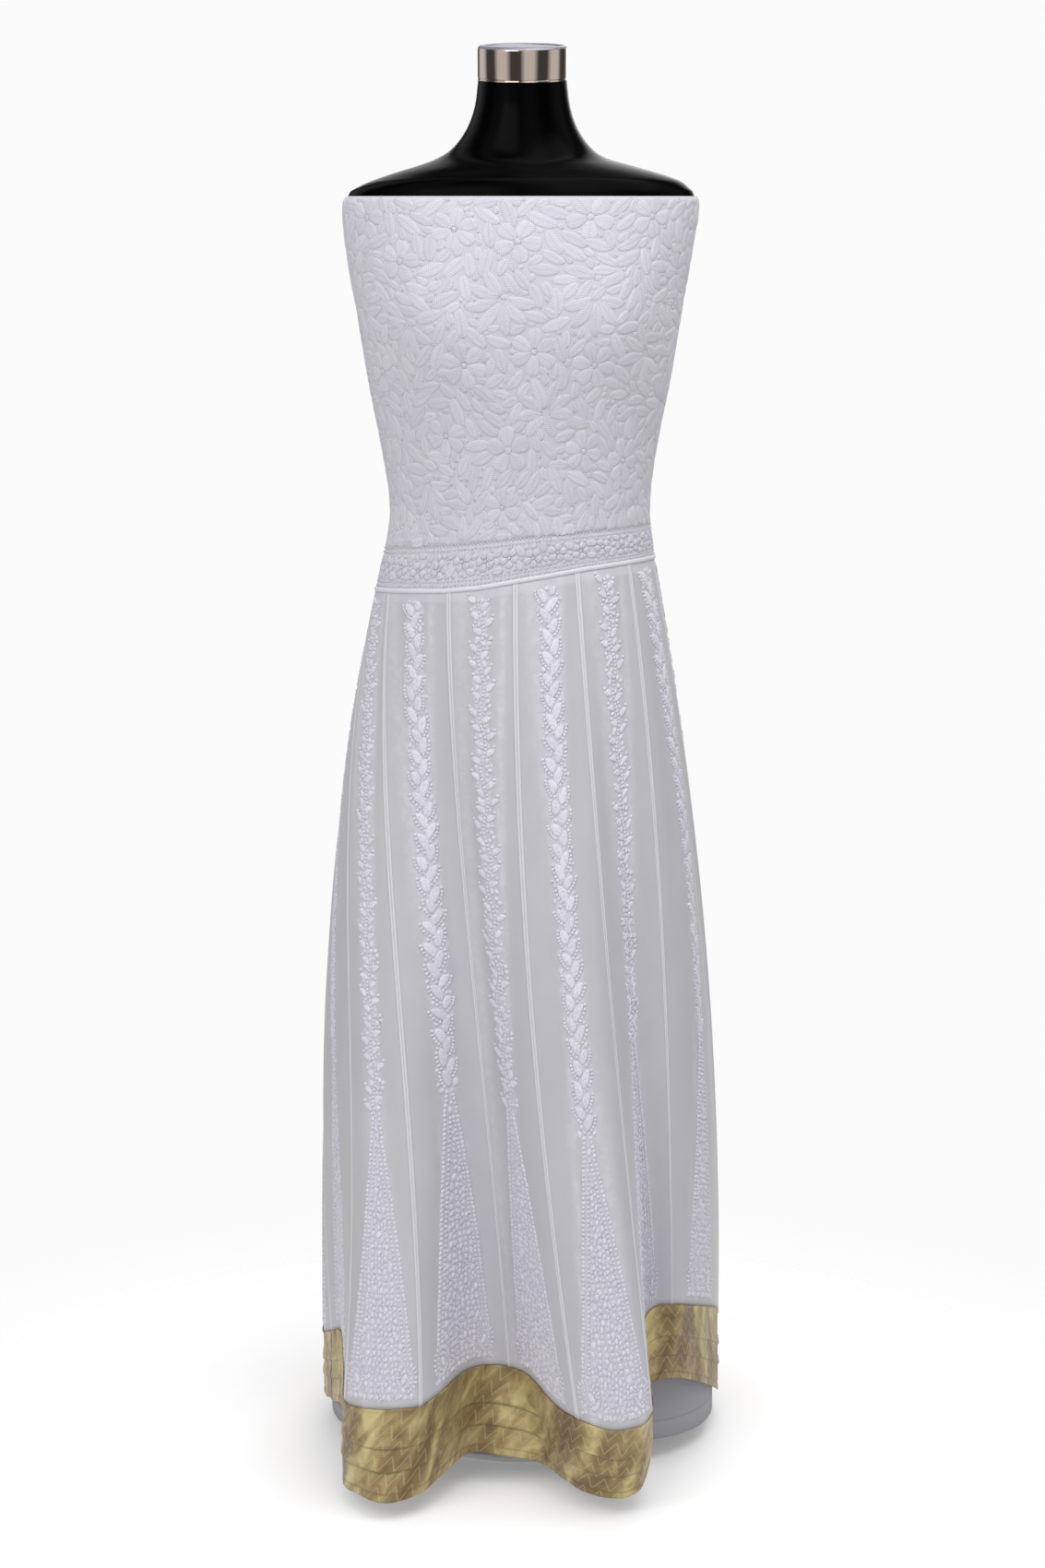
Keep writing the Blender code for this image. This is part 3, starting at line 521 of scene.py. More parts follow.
# Lining: a plain white cotton voile underskirt, cut straight, sewn in at the waist and
# hemmed by machine. It is a little shorter in front and shows at both sides below the gold.
LINING_HALF = (0.2130, 0.2125, 0.1760, 0.1800)
LINING_FLARE = (2.60, 2.10, 1.80, 1.90)
LINING_POWER = 2.25
LINING_HEM = 0.021
LINING_FRONT_RISE = 0.014
LINING_COLUMNS = 72
LINING_ROWS = 48
LINING_TURN_UP = 0.020   # depth of the machined hem
SHELL = 0.0009           # thickness of the cloth shells


def grown(start, end, way, speed):
    """A half size that grows from start to end, fast at first where speed is high."""
    return start + (end - start) * (1.0 - (1.0 - way) ** speed)


def lining_point(angle, way, inset):
    """The lining: an ellipse at the waist that turns into a squarer ring at its hem."""
    top = waist_ring(angle, SEAM, 0.0)
    hem = LINING_HEM + LINING_FRONT_RISE * np.maximum(np.cos(angle), 0.0) ** 4
    power = 2.0 / (2.0 + (LINING_POWER - 2.0) * way)
    sine = np.sign(np.sin(angle)) * np.abs(np.sin(angle)) ** power
    cosine = np.sign(np.cos(angle)) * np.abs(np.cos(angle)) ** power
    left, right, front, back = (
        grown(start - CLOTH_WALL - LINING_GAP, end, way, speed) - inset
        for start, end, speed in zip(body_sizes(top[..., 2]), LINING_HALF, LINING_FLARE))
    return np.stack([np.where(sine < 0.0, left, right) * sine,
                     -np.where(cosine > 0.0, front, back) * cosine,
                     top[..., 2] - SEAT_GAP + (hem - top[..., 2]) * way], axis=-1)


def outward(grid, closed):
    """Unit normals of a grid: the way down crossed with the way across."""
    if closed:
        along = np.roll(grid, -1, axis=1) - np.roll(grid, 1, axis=1)
    else:
        along = np.gradient(grid, axis=1)
    normals = np.cross(np.gradient(grid, axis=0), along)
    return normals / np.linalg.norm(normals, axis=-1, keepdims=True)


def lengths_down(grid):
    """Distance down each column of a grid from its top row, in metres."""
    steps = np.linalg.norm(np.diff(grid, axis=0), axis=-1)
    return np.concatenate([np.zeros((1, grid.shape[1])), np.cumsum(steps, axis=0)])


def lengths_across(grid):
    """Distance along each row of a grid from its first column, in metres."""
    steps = np.linalg.norm(np.diff(grid, axis=1), axis=-1)
    return np.concatenate([np.zeros((grid.shape[0], 1)), np.cumsum(steps, axis=1)], axis=1)


def shell(name, grid, marks=None, thickness=SHELL):
    """A cloth shell on a grid, its thickness laid inwards; UV is across and down, in dm."""
    across = lengths_across(grid)
    across = across - across[:, -1:] * 0.5
    uv = np.stack([across, lengths_down(grid)], axis=-1).reshape(-1, 2) * 10.0
    piece = mesh_piece(name, grid.reshape(-1, 3), [grid_quads(*grid.shape[:2])], uv, marks)
    wall = piece.modifiers.new("thickness", "SOLIDIFY")
    wall.thickness = thickness
    wall.offset = -1.0
    return piece


# Cotton voile: plain weave of 0.25 mm threads, too fine to show, so drawn as a soft
# 1.2 mm crossing grain; the white cloth is painted grey as painted shade from the skirt it hangs
# under, with a dark line at its hem
voile, tree, shader = start_material("cotton_voile", "99989F", 0.9, sheen=0.1)
flat_on = add_node(tree, "ShaderNodeUVMap", uv_map="cloth")
warp = add_node(tree, "ShaderNodeTexWave", {"Scale": 26.0, "Distortion": 0.6, "Detail": 1.0},
                {"Vector": flat_on.outputs["UV"]}, bands_direction="X")
weft = add_node(tree, "ShaderNodeTexWave", {"Scale": 26.0, "Distortion": 0.6, "Detail": 1.0},
                {"Vector": flat_on.outputs["UV"]}, bands_direction="Y")
threads = add_node(tree, "ShaderNodeMath", links={0: warp.outputs["Fac"],
                   1: weft.outputs["Fac"]}, operation="ADD")
hem_mark = add_node(tree, "ShaderNodeAttribute", attribute_name="from_hem")
off_stitch = add_node(tree, "ShaderNodeMath", {1: LINING_TURN_UP}, {0: hem_mark.outputs["Fac"]},
                      operation="SUBTRACT")
off_stitch = add_node(tree, "ShaderNodeMath", links={0: off_stitch.outputs[0]}, operation="ABSOLUTE")
stitch = add_node(tree, "ShaderNodeMapRange", {"From Min": 0.0016, "From Max": 0.0004,
                  "To Max": 0.35}, {"Value": off_stitch.outputs[0]})
# The voile's white is painted grey as painted shade; the darker colour is the hem's stitching line
hemmed = add_node(tree, "ShaderNodeMixRGB", {"Color1": linear("99989F"), "Color2": linear("78767E")},
                  {"Fac": stitch.outputs["Result"]})
bump = add_node(tree, "ShaderNodeBump", {"Strength": 0.25, "Distance": 0.0004},
                {"Height": threads.outputs[0]})
tree.links.new(hemmed.outputs["Color"], shader.inputs["Base Color"])
tree.links.new(bump.outputs["Normal"], shader.inputs["Normal"])

way = np.linspace(0.0, 1.0, LINING_ROWS + 1)[:, None]
for name, node, middle in (("lining_front_voile", "lining_front", 0.0),
                           ("lining_back_voile", "lining_back", math.pi)):
    angle = middle + np.linspace(-0.5 * math.pi, 0.5 * math.pi, LINING_COLUMNS + 1)[None, :]
    grid = lining_point(angle + 0.0 * way, way + 0.0 * angle, 0.0002)
    depth = lengths_down(grid)
    piece = shell(name, grid, {"from_hem": depth[-1] - depth})
    dress(piece, voile, "lining_cloth", node)


# Skirt: fourteen flared panels, the kalis, of sheer silk georgette, joined by narrow
# enclosed seams that show as pale opaque lines. It hangs from the waist seam in deep folds,
# fewer and softer behind, and the lining's own seams shimmer through it.
KALIS = 14
FRONT_KALIS = 7
SEAM_ROWS = np.array((
    # seam, its angle round the body at the waist and half-way down, in degrees
    (0, -116.0, -88.0),
    (1, -90.0, -51.3),
    (2, -64.0, -34.9),
    (3, -29.5, -14.4),
    (4, -2.7, 1.0),
    (5, 23.3, 22.6),
    (6, 51.7, 46.3),
    (7, 78.0, 86.0),
))
SKIRT_HALF = (0.2220, 0.2205, 0.2500, 0.2500)
SKIRT_FLARE = (2.60, 2.05, 1.30, 1.80)
FOLD_GROWTH = 1.3
FOLD_ROWS = (
    # place in kalis, X, Y and Z of the border's top edge there, X, Y and Z of its hem
    (-0.35, -0.2190, -0.040, 0.112, -0.2200, -0.012, 0.030),
    (0.00, -0.2060, -0.104, 0.134, -0.2070, -0.085, 0.050),
    (0.50, -0.1910, -0.158, 0.146, -0.1920, -0.150, 0.058),
    (0.80, -0.1860, -0.205, 0.122, -0.1870, -0.203, 0.030),
    (1.00, -0.1835, -0.249, 0.109, -0.1865, -0.244, 0.019),
    (1.25, -0.1650, -0.280, 0.111, -0.1660, -0.285, 0.020),
    (1.50, -0.1470, -0.284, 0.110, -0.1440, -0.303, 0.019),
    (1.75, -0.1260, -0.288, 0.112, -0.1240, -0.303, 0.021),
    (2.00, -0.1030, -0.286, 0.115, -0.1020, -0.285, 0.024),
    (2.25, -0.0830, -0.260, 0.121, -0.0820, -0.252, 0.030),
    (2.50, -0.0620, -0.217, 0.127, -0.0620, -0.213, 0.035),
    (3.00, -0.0140, -0.190, 0.123, -0.0160, -0.208, 0.032),
    (3.30, 0.0080, -0.212, 0.120, 0.0170, -0.215, 0.029),
    (3.60, 0.0315, -0.262, 0.110, 0.0360, -0.242, 0.026),
    (4.00, 0.0555, -0.298, 0.106, 0.0580, -0.275, 0.023),
    (4.30, 0.0845, -0.314, 0.100, 0.0850, -0.290, 0.019),
    (4.60, 0.1075, -0.317, 0.102, 0.1090, -0.292, 0.022),
    (4.85, 0.1245, -0.309, 0.106, 0.1260, -0.275, 0.033),
    (5.00, 0.1315, -0.288, 0.110, 0.1330, -0.243, 0.048),
    (5.25, 0.1285, -0.235, 0.140, 0.1300, -0.200, 0.075),
    (5.50, 0.1270, -0.182, 0.168, 0.1285, -0.172, 0.092),
    (5.75, 0.1400, -0.176, 0.184, 0.1420, -0.165, 0.100),
    (6.00, 0.1570, -0.178, 0.187, 0.1590, -0.155, 0.099),
    (6.50, 0.1860, -0.132, 0.171, 0.1875, -0.112, 0.081),
    (6.75, 0.2085, -0.062, 0.147, 0.2095, -0.055, 0.055),
    (7.00, 0.2190, 0.010, 0.120, 0.2200, 0.005, 0.030),
)
BACK_WAVES = 4
BACK_WAVE_DEPTH = 0.026
BACK_TOP_HEIGHT = 0.118
BACK_HEM_HEIGHT = 0.028
BACK_HEM_FLARE = 0.004
CREASES = np.array((
    # place in kalis at its top and at its foot, way down of its top and foot, width, depth
    (0.45, 0.35, 0.03, 0.52, 0.011, -0.0026),
    (1.38, 1.12, 0.02, 0.70, 0.009, -0.0024),
    (1.80, 1.72, 0.00, 0.30, 0.007, -0.0016),
    (2.22, 2.05, 0.00, 0.62, 0.010, -0.0022),
    (2.83, 2.60, 0.04, 0.85, 0.012, -0.0024),
    (3.30, 3.42, 0.02, 0.48, 0.008, 0.0018),
    (3.88, 3.65, 0.00, 0.66, 0.010, -0.0024),
    (4.40, 4.20, 0.05, 0.92, 0.014, -0.0026),
    (4.86, 4.78, 0.00, 0.36, 0.007, -0.0018),
    (5.30, 5.12, 0.02, 0.74, 0.011, -0.0030),
    (5.72, 5.60, 0.10, 0.95, 0.013, 0.0024),
    (6.36, 6.20, 0.00, 0.58, 0.010, -0.0026),
    (6.80, 6.92, 0.06, 0.88, 0.012, -0.0024),
    (7.55, 7.40, 0.00, 0.64, 0.011, -0.0026),
    (8.30, 8.52, 0.03, 0.83, 0.013, -0.0028),
    (9.10, 9.02, 0.00, 0.44, 0.009, -0.0020),
    (9.62, 9.80, 0.05, 0.90, 0.013, 0.0022),
    (10.40, 10.25, 0.00, 0.70, 0.011, -0.0026),
    (11.20, 11.38, 0.02, 0.55, 0.010, -0.0022),
    (11.85, 11.70, 0.08, 0.93, 0.014, -0.0028),
    (12.60, 12.78, 0.00, 0.60, 0.010, -0.0024),
    (13.42, 13.30, 0.04, 0.86, 0.012, -0.0026),
))
SKIRT_ROWS = 120
INNER_COLUMNS = 14       # columns of faces between the seam bands of one kali
SEAM_BAND = (0.0, 0.0009, 0.0021, 0.0029, 0.0046)
SEAM_RAISED = 0.0006     # how far the seam band stands out of the cloth
SEAM_EDGE = 0.0027       # the band's edge, and the width over which it falls to the cloth
SEAM_FALL = 0.0007
SEAM_DITCH = 0.0005      # depth and half width of the line in which two kalis meet
DITCH_HALF = 0.0009
GEORGETTE = 0.0008


def seam_angles(place):
    """Angles of a place in kalis at the waist and half-way down: even between the seams."""
    seams = np.concatenate([SEAM_ROWS[:, 0], np.arange(FRONT_KALIS + 1.0, KALIS + 1.0)])
    found = []
    for column in (1, 2):
        last = SEAM_ROWS[-1, column]
        step = (360.0 - last + SEAM_ROWS[0, column]) / (KALIS - FRONT_KALIS)
        rest = last + step * np.arange(1.0, KALIS - FRONT_KALIS + 1.0)
        found.append(np.radians(np.interp(place, seams,
                                          np.concatenate([SEAM_ROWS[:, column], rest]))))
    return found


def back_fold_rows():
    """Fold rows of the back: four even waves that swell towards the middle of the back."""
    steps = (KALIS - FRONT_KALIS) * 4
    part = np.arange(2, steps - 2) / steps
    angle = np.radians(94.0 + 190.0 * (part + 0.012 * np.sin(4.0 * math.pi * part)))
    swell = np.sin(math.pi * part) ** 1.6
    wave = BACK_WAVE_DEPTH * swell * np.cos(2.0 * math.pi * BACK_WAVES * (part - 0.5))
    left, right, front, back = SKIRT_HALF
    ring = []
    for flare in (0.0, BACK_HEM_FLARE):
        side = flare - 0.5 * BACK_HEM_FLARE
        across, forward = ellipse(angle, left + side, right + side, front, back + flare)
        reach = 1.0 + wave / np.hypot(across, forward)
        ring += [across * reach, forward * reach]
    seam = FRONT_KALIS + part * (KALIS - FRONT_KALIS - 0.35)
    return np.stack([seam, ring[0], ring[1], BACK_TOP_HEIGHT - 0.15 * wave,
                     ring[2], ring[3], BACK_HEM_HEIGHT - 0.15 * wave], axis=-1)


front_rows = np.array(FOLD_ROWS)
front_rows[:, 0] %= KALIS
folds = np.concatenate([front_rows, back_fold_rows()])
folds = folds[np.argsort(folds[:, 0])]


def skirt_point(place, way):
    """The skirt from the waist seam (way 0) to the border's top edge (way 1).

    An ellipse flares from the waist ring, its angle drifts along the seams as a quadratic,
    and each place's fold is added with the power 1.3 of the way down.
    """
    low = smooth_rows(folds[:, 0], folds[:, 1:], place, KALIS)
    waist_angle, middle_angle = seam_angles(place)
    left, right, front, back = SKIRT_HALF
    low_angle = np.arctan2(low[..., 0] / np.where(low[..., 0] < 0.0, left, right),
                           -low[..., 1] / np.where(low[..., 1] < 0.0, front, back))
    low_angle = low_angle + 2.0 * math.pi * np.round((middle_angle - low_angle) / (2.0 * math.pi))
    unfolded = ellipse(low_angle, left, right, front, back)
    top = waist_ring(waist_angle, SEAM, 0.0)
    angle = (waist_angle * 2.0 * (way - 0.5) * (way - 1.0)
             + middle_angle * 4.0 * way * (1.0 - way) + low_angle * 2.0 * way * (way - 0.5))
    halves = [grown(start, end, way, speed) for start, end, speed
              in zip(body_sizes(top[..., 2]), SKIRT_HALF, SKIRT_FLARE)]
    across, forward = ellipse(angle, *halves)
    weight = way ** FOLD_GROWTH
    return np.stack([across + weight * (low[..., 0] - unfolded[0]),
                     forward + weight * (low[..., 1] - unfolded[1]),
                     top[..., 2] + (low[..., 2] - top[..., 2]) * way], axis=-1)


def border_point(place, way):
    """The border from its top edge (way 0) to the hem (way 1), straight between them."""
    rows = smooth_rows(folds[:, 0], folds[:, 1:], place, KALIS)
    way = np.asarray(way)[..., None]
    return rows[..., 0:3] * (1.0 - way) + rows[..., 3:6] * way


def panel_places(rows):
    """Places of the columns of all kalis, row by row: close together at each seam.

    The columns of a seam band keep their distance from the seam in metres at every row.
    """
    ways = np.linspace(0.0, 1.0, rows + 1)[:, None]
    coarse = np.arange(KALIS * 8 + 1) / 8.0
    widths = lengths_across(skirt_point(coarse[None, :] + 0.0 * ways, ways + 0.0 * coarse))
    widths = np.diff(widths[:, ::8], axis=1)
    band = np.array(SEAM_BAND)
    inner = np.linspace(0.0, 1.0, INNER_COLUMNS + 1)[1:-1]
    places = []
    for kali in range(KALIS):
        wide = widths[:, kali:kali + 1]
        edge = band / wide
        middle = edge[:, -1:] + (1.0 - 2.0 * edge[:, -1:]) * inner
        places.append(kali + np.concatenate([edge, middle, 1.0 - edge[:, ::-1]], axis=1))
    return np.stack(places, axis=1), ways, widths


def crease_depth(place, way, metric):
    """Soft troughs and ridges: a bell across, and a sine hump along each crease's length."""
    total = np.zeros(place.shape)
    for top, foot, start, end, width, depth in CREASES:
        part = np.clip((way - start) / (end - start), 0.0, 1.0)
        off = (place - (top + (foot - top) * part) + 0.5 * KALIS) % KALIS - 0.5 * KALIS
        spread = width * (0.6 + 0.8 * part)
        total += depth * np.sin(math.pi * part) * np.exp(-(off * metric / spread) ** 2)
    return total


kali_places, skirt_ways, kali_widths = panel_places(SKIRT_ROWS)
KALI_COLUMNS = kali_places.shape[2]
flat_places = kali_places.reshape(SKIRT_ROWS + 1, -1)
skirt_smooth = skirt_point(flat_places, skirt_ways + 0.0 * flat_places)
last_columns = np.arange(KALIS) * KALI_COLUMNS + KALI_COLUMNS - 1


def kali_normals(points):
    """Outward normals of all kalis side by side.

    The last column of a kali and the first of the next are the same place, so a normal is
    taken over the columns before and after both of them, and both get it.
    """
    once = np.delete(np.arange(points.shape[1]), last_columns)
    found = outward(points[:, once], True)
    normals = np.zeros(points.shape)
    normals[:, once] = found
    normals[:, last_columns] = found[:, (np.arange(1, KALIS + 1) % KALIS) * (KALI_COLUMNS - 1)]
    return normals


metric = (kali_widths[:, :, None] + np.zeros(kali_places.shape)).reshape(flat_places.shape)
creases = crease_depth(flat_places, skirt_ways, metric)[..., None]
skirt_cloth = skirt_smooth + kali_normals(skirt_smooth) * creases
skirt_cloth_normals = kali_normals(skirt_cloth)
from_seam = (0.5 - np.abs(flat_places % 1.0 - 0.5)) * metric
from_seam[:, last_columns] = 0.0
raised = SEAM_RAISED * np.clip((SEAM_EDGE - from_seam) / SEAM_FALL, 0.0, 1.0)
raised = raised - SEAM_DITCH * np.clip(1.0 - from_seam / DITCH_HALF, 0.0, 1.0)
skirt_shell = skirt_cloth + skirt_cloth_normals * raised[..., None]
skirt_shell = skirt_shell.reshape(SKIRT_ROWS + 1, KALIS, KALI_COLUMNS, 3)
skirt_cloth = skirt_cloth.reshape(skirt_shell.shape)
skirt_cloth_normals = skirt_cloth_normals.reshape(skirt_shell.shape)
kali_drops = [lengths_down(skirt_cloth[:, kali, KALI_COLUMNS // 2:KALI_COLUMNS // 2 + 1])[:, 0]
              for kali in range(KALIS)]

VEILS = (
    # kali, share of its width at the top and at the foot, spread in metres, strength:
    # the lining's seams and the far side's embroidery, faint through the georgette
    (0, 0.35, 0.60, 0.004, 0.5),
    (1, 0.82, 0.30, 0.004, 0.8),
    (1, 0.15, 0.75, 0.010, 0.5),
    (2, 0.78, 0.22, 0.004, 0.8),
    (2, 0.12, 0.80, 0.010, 0.6),
    (3, 0.84, 0.40, 0.004, 0.9),
    (3, 0.20, 0.10, 0.009, 0.5),
    (4, 0.70, 0.16, 0.004, 0.9),
    (4, 0.24, 0.86, 0.010, 0.7),
    (5, 0.80, 0.30, 0.004, 0.7),
    (5, 0.22, 0.72, 0.010, 0.5),
    (6, 0.64, 0.24, 0.004, 0.6),
)


def veil(kali, way):
    """How much pale cloth lies behind each point of a kali: slanting bell-shaped lines."""
    width = kali_widths[:, kali:kali + 1]
    share = kali_places[:, kali] - kali
    total = np.zeros(share.shape)
    rows = [row for row in VEILS if row[0] == kali]
    if not rows:
        drift = 0.5 + 0.3 * math.sin(2.4 * kali)
        rows = [(kali, drift, 1.0 - drift, 0.004, 0.7), (kali, 1.0 - drift, drift, 0.010, 0.5)]
    for _, top, foot, spread, strength in rows:
        line = top + (foot - top) * way
        total += strength * np.exp(-((share - line) * width / spread) ** 2)
    return total


# Silk georgette: a sheer crepe of hard-twisted 0.2 mm threads, matt with a faint sheen. The
# crepe is drawn 1.5 mm coarse. It looks greyer where nothing lies behind it, and pale where
# a seam's four layers, the lining's seams or the back of the embroidery do.
georgette, tree, shader = start_material("silk_georgette", "BDBCC3", 0.82, sheen=0.25)
flat_on = add_node(tree, "ShaderNodeUVMap", uv_map="cloth")
seam_mark = add_node(tree, "ShaderNodeAttribute", attribute_name="from_seam")
veil_mark = add_node(tree, "ShaderNodeAttribute", attribute_name="veil")
waist_mark = add_node(tree, "ShaderNodeAttribute", attribute_name="from_waist")
cloud = add_node(tree, "ShaderNodeTexNoise", {"Scale": 1.1, "Detail": 3.0},
                 {"Vector": flat_on.outputs["UV"]})
leafy = add_node(tree, "ShaderNodeTexNoise", {"Scale": 9.0, "Detail": 2.0, "Distortion": 0.8},
                 {"Vector": flat_on.outputs["UV"]})
ground = add_node(tree, "ShaderNodeMixRGB", {"Color1": linear("BAB9C0"), "Color2": linear("C8C8CC")},
                  {"Fac": cloud.outputs["Fac"]})
dapple = add_node(tree, "ShaderNodeMapRange", {"From Min": 0.42, "From Max": 0.62, "To Min": 0.5},
                  {"Value": leafy.outputs["Fac"]})
shown = add_node(tree, "ShaderNodeMath", links={0: dapple.outputs["Result"],
                 1: veil_mark.outputs["Fac"]}, operation="MULTIPLY", use_clamp=True)
veiled = add_node(tree, "ShaderNodeMixRGB", {"Color2": linear("D8D7DE")},
                  {"Fac": shown.outputs[0], "Color1": ground.outputs["Color"]})
allowance = add_node(tree, "ShaderNodeMapRange", {"From Min": 0.0105, "From Max": 0.0135,
                     "To Min": 0.45, "To Max": 0.0}, {"Value": waist_mark.outputs["Fac"]})
doubled = add_node(tree, "ShaderNodeMixRGB", {"Color2": linear("D8D7DE")},
                   {"Fac": allowance.outputs["Result"], "Color1": veiled.outputs["Color"]})
bed_mark = add_node(tree, "ShaderNodeAttribute", attribute_name="stitch_bed")
bed = add_node(tree, "ShaderNodeMapRange", {"From Min": -0.0006, "From Max": 0.0008,
               "To Max": 0.85}, {"Value": bed_mark.outputs["Fac"]})
stuffed = add_node(tree, "ShaderNodeMixRGB", {"Color2": linear("D3D1DA")},
                   {"Fac": bed.outputs["Result"], "Color1": doubled.outputs["Color"]})
# Painted shade: a thin darker line along the outside of each raised seam band
edge = add_node(tree, "ShaderNodeMapRange", {"From Min": 0.0042, "From Max": 0.0028,
                "To Min": 0.0, "To Max": 0.30}, {"Value": seam_mark.outputs["Fac"]})
with_painted_seam_shade = add_node(tree, "ShaderNodeMixRGB", {"Color2": linear("A3A1AA")},
                 {"Fac": edge.outputs["Result"], "Color1": stuffed.outputs["Color"]})
band = add_node(tree, "ShaderNodeMapRange", {"From Min": 0.0027, "From Max": 0.0021},
                {"Value": seam_mark.outputs["Fac"]})
seamed = add_node(tree, "ShaderNodeMixRGB", {"Color2": linear("DBDAE0")},
                  {"Fac": band.outputs["Result"], "Color1": with_painted_seam_shade.outputs["Color"]})
crepe = add_node(tree, "ShaderNodeTexNoise", {"Scale": 70.0, "Detail": 2.0},
                 {"Vector": flat_on.outputs["UV"]})
bump = add_node(tree, "ShaderNodeBump", {"Strength": 0.22, "Distance": 0.0005},
                {"Height": crepe.outputs["Fac"]})
tree.links.new(seamed.outputs["Color"], shader.inputs["Base Color"])
tree.links.new(bump.outputs["Normal"], shader.inputs["Normal"])

kali_cloths = []
for kali in range(KALIS):
    grid = skirt_shell[:, kali]
    marks = {"from_seam": from_seam.reshape(skirt_shell.shape[:3])[:, kali],
             "veil": veil(kali, skirt_ways), "from_waist": lengths_down(grid)}
    cloth = shell(f"kali_cloth_{kali + 1:02d}", grid, marks, GEORGETTE)
    kali_cloths.append(dress(cloth, georgette, "skirt_cloth", f"kali_{kali + 1:02d}"))


# Border: a bought edging of gold tissue brocade, laid on the skirt's lower edge. It is one
# strip with two tucks run round it, quilted in zigzags with a pale thread, a cord let in
# along its top edge and a machined hem. Tissue is stiff, so it keeps small dents.
BORDER_ROWS = 44
BORDER_COLUMNS = 150     # columns of faces in each half
TUCKS = (0.42, 0.67)
TUCK_RISE = 0.0016       # a tuck's free lower edge stands out this far
TUCK_FALL = 0.010        # depth of a tuck's fold, above its free edge
HEM_STITCH = 0.009       # height of the machined hem's stitching above the lower edge
EDGE_CORD = 0.0014       # how far the cord along the top edge stands out
ZIGZAG = 0.019           # length of one zigzag along the strip, and height of a row of them
ZIGZAG_ROW = 0.0158
HEM_LINE = 0.905         # the same stitching, as a share of the way down the border


def border_grid(first, last):
    """The border between two seams, with tucks that step out and small dents all over."""
    place = np.linspace(first, last, BORDER_COLUMNS + 1)[None, :]
    way = np.linspace(0.0, 1.0, BORDER_ROWS + 1)[:, None]
    flat = border_point(place + 0.0 * way, way + 0.0 * place)
    normals = outward(flat, False)
    drop = lengths_down(flat)
    whole = drop[-1:]
    along = lengths_across(flat)[BORDER_ROWS // 2][None, :] + 0.31 * first
    lift = np.zeros(drop.shape)
    for tuck in TUCKS:
        above = tuck * whole - drop
        inside = (above >= 0.0) & (above < TUCK_FALL)
        lift += np.where(inside, TUCK_RISE * (1.0 - 0.65 * above / TUCK_FALL), 0.0)
    lift += 0.0008 * np.sin(along * 97.0 + 0.8 * np.sin(drop * 40.0)) * np.sin(along * 23.0 + 1.0)
    lift += 0.0005 * np.sin(along * 171.0 + drop * 55.0) * np.sin(along * 31.0 - drop * 20.0)
    lift -= 0.0006 * np.exp(-((whole - drop - HEM_STITCH) / 0.0016) ** 2)
    edge = np.exp(-(drop / 0.0022) ** 2)
    return flat + normals * (lift * (1.0 - edge) + EDGE_CORD * edge)[..., None], drop, whole


# Gold tissue brocade: flat gilt strip woven on a silk warp, part metal and part cloth. Its
# colour carries painted highlights, soft upright streaks of pale gold with olive brown beside
# them; pale quilting threads zigzag in each strip, and a painted shadow lies under each tuck
brocade, tree, shader = start_material("gold_tissue_brocade", "9A8558", 0.46, 0.30, sheen=0.1)
flat_on = add_node(tree, "ShaderNodeUVMap", uv_map="cloth")
parts = add_node(tree, "ShaderNodeSeparateXYZ", links={"Vector": flat_on.outputs["UV"]})
share_mark = add_node(tree, "ShaderNodeAttribute", attribute_name="share")
upright = add_node(tree, "ShaderNodeMapping", {"Scale": (3.2, 0.9, 1.0)},
                   {"Vector": flat_on.outputs["UV"]})
streaks = add_node(tree, "ShaderNodeTexNoise", {"Scale": 1.0, "Detail": 2.0, "Distortion": 0.5},
                   {"Vector": upright.outputs["Vector"]})
patches = add_node(tree, "ShaderNodeTexNoise", {"Scale": 4.5, "Detail": 3.0, "Distortion": 0.8},
                   {"Vector": flat_on.outputs["UV"]})
# Painted highlight: noise streaks and patches lighten the base colour from olive brown to pale gold
painted_highlight = add_node(tree, "ShaderNodeMath", {1: 0.45}, {0: patches.outputs["Fac"],
                 2: streaks.outputs["Fac"]}, operation="MULTIPLY_ADD")
gold_with_painted_highlight = add_node(tree, "ShaderNodeValToRGB", links={"Fac": painted_highlight.outputs[0]})
for index, (position, colour) in enumerate(((0.58, "7B6340"), (0.70, "967F54"),
                                            (0.80, "B09C6A"), (0.92, "D2C288"))):
    stop = gold_with_painted_highlight.color_ramp.elements[index] if index < 2 else gold_with_painted_highlight.color_ramp.elements.new(position)
    stop.position = position
    stop.color = linear(colour)
zig = add_node(tree, "ShaderNodeMath", {1: 0.2 / ZIGZAG}, {0: parts.outputs["X"]},
               operation="MULTIPLY")
zag = add_node(tree, "ShaderNodeMath", {1: 1.0}, {0: zig.outputs[0]}, operation="PINGPONG")
row = add_node(tree, "ShaderNodeMath", {1: 0.1 / ZIGZAG_ROW}, {0: parts.outputs["Y"]},
               operation="MULTIPLY")
in_row = add_node(tree, "ShaderNodeMath", links={0: row.outputs[0]}, operation="FRACT")
gap = add_node(tree, "ShaderNodeMath", links={0: zag.outputs[0], 1: in_row.outputs[0]},
               operation="SUBTRACT")
near = add_node(tree, "ShaderNodeMath", links={0: gap.outputs[0]}, operation="ABSOLUTE")
thread = add_node(tree, "ShaderNodeMapRange", {"From Min": 0.13, "From Max": 0.04,
                  "To Min": 0.0, "To Max": 0.30}, {"Value": near.outputs[0]})
quilted = add_node(tree, "ShaderNodeMixRGB", {"Color2": linear("D2C8A6")},
                   {"Fac": thread.outputs["Result"], "Color1": gold_with_painted_highlight.outputs["Color"]})
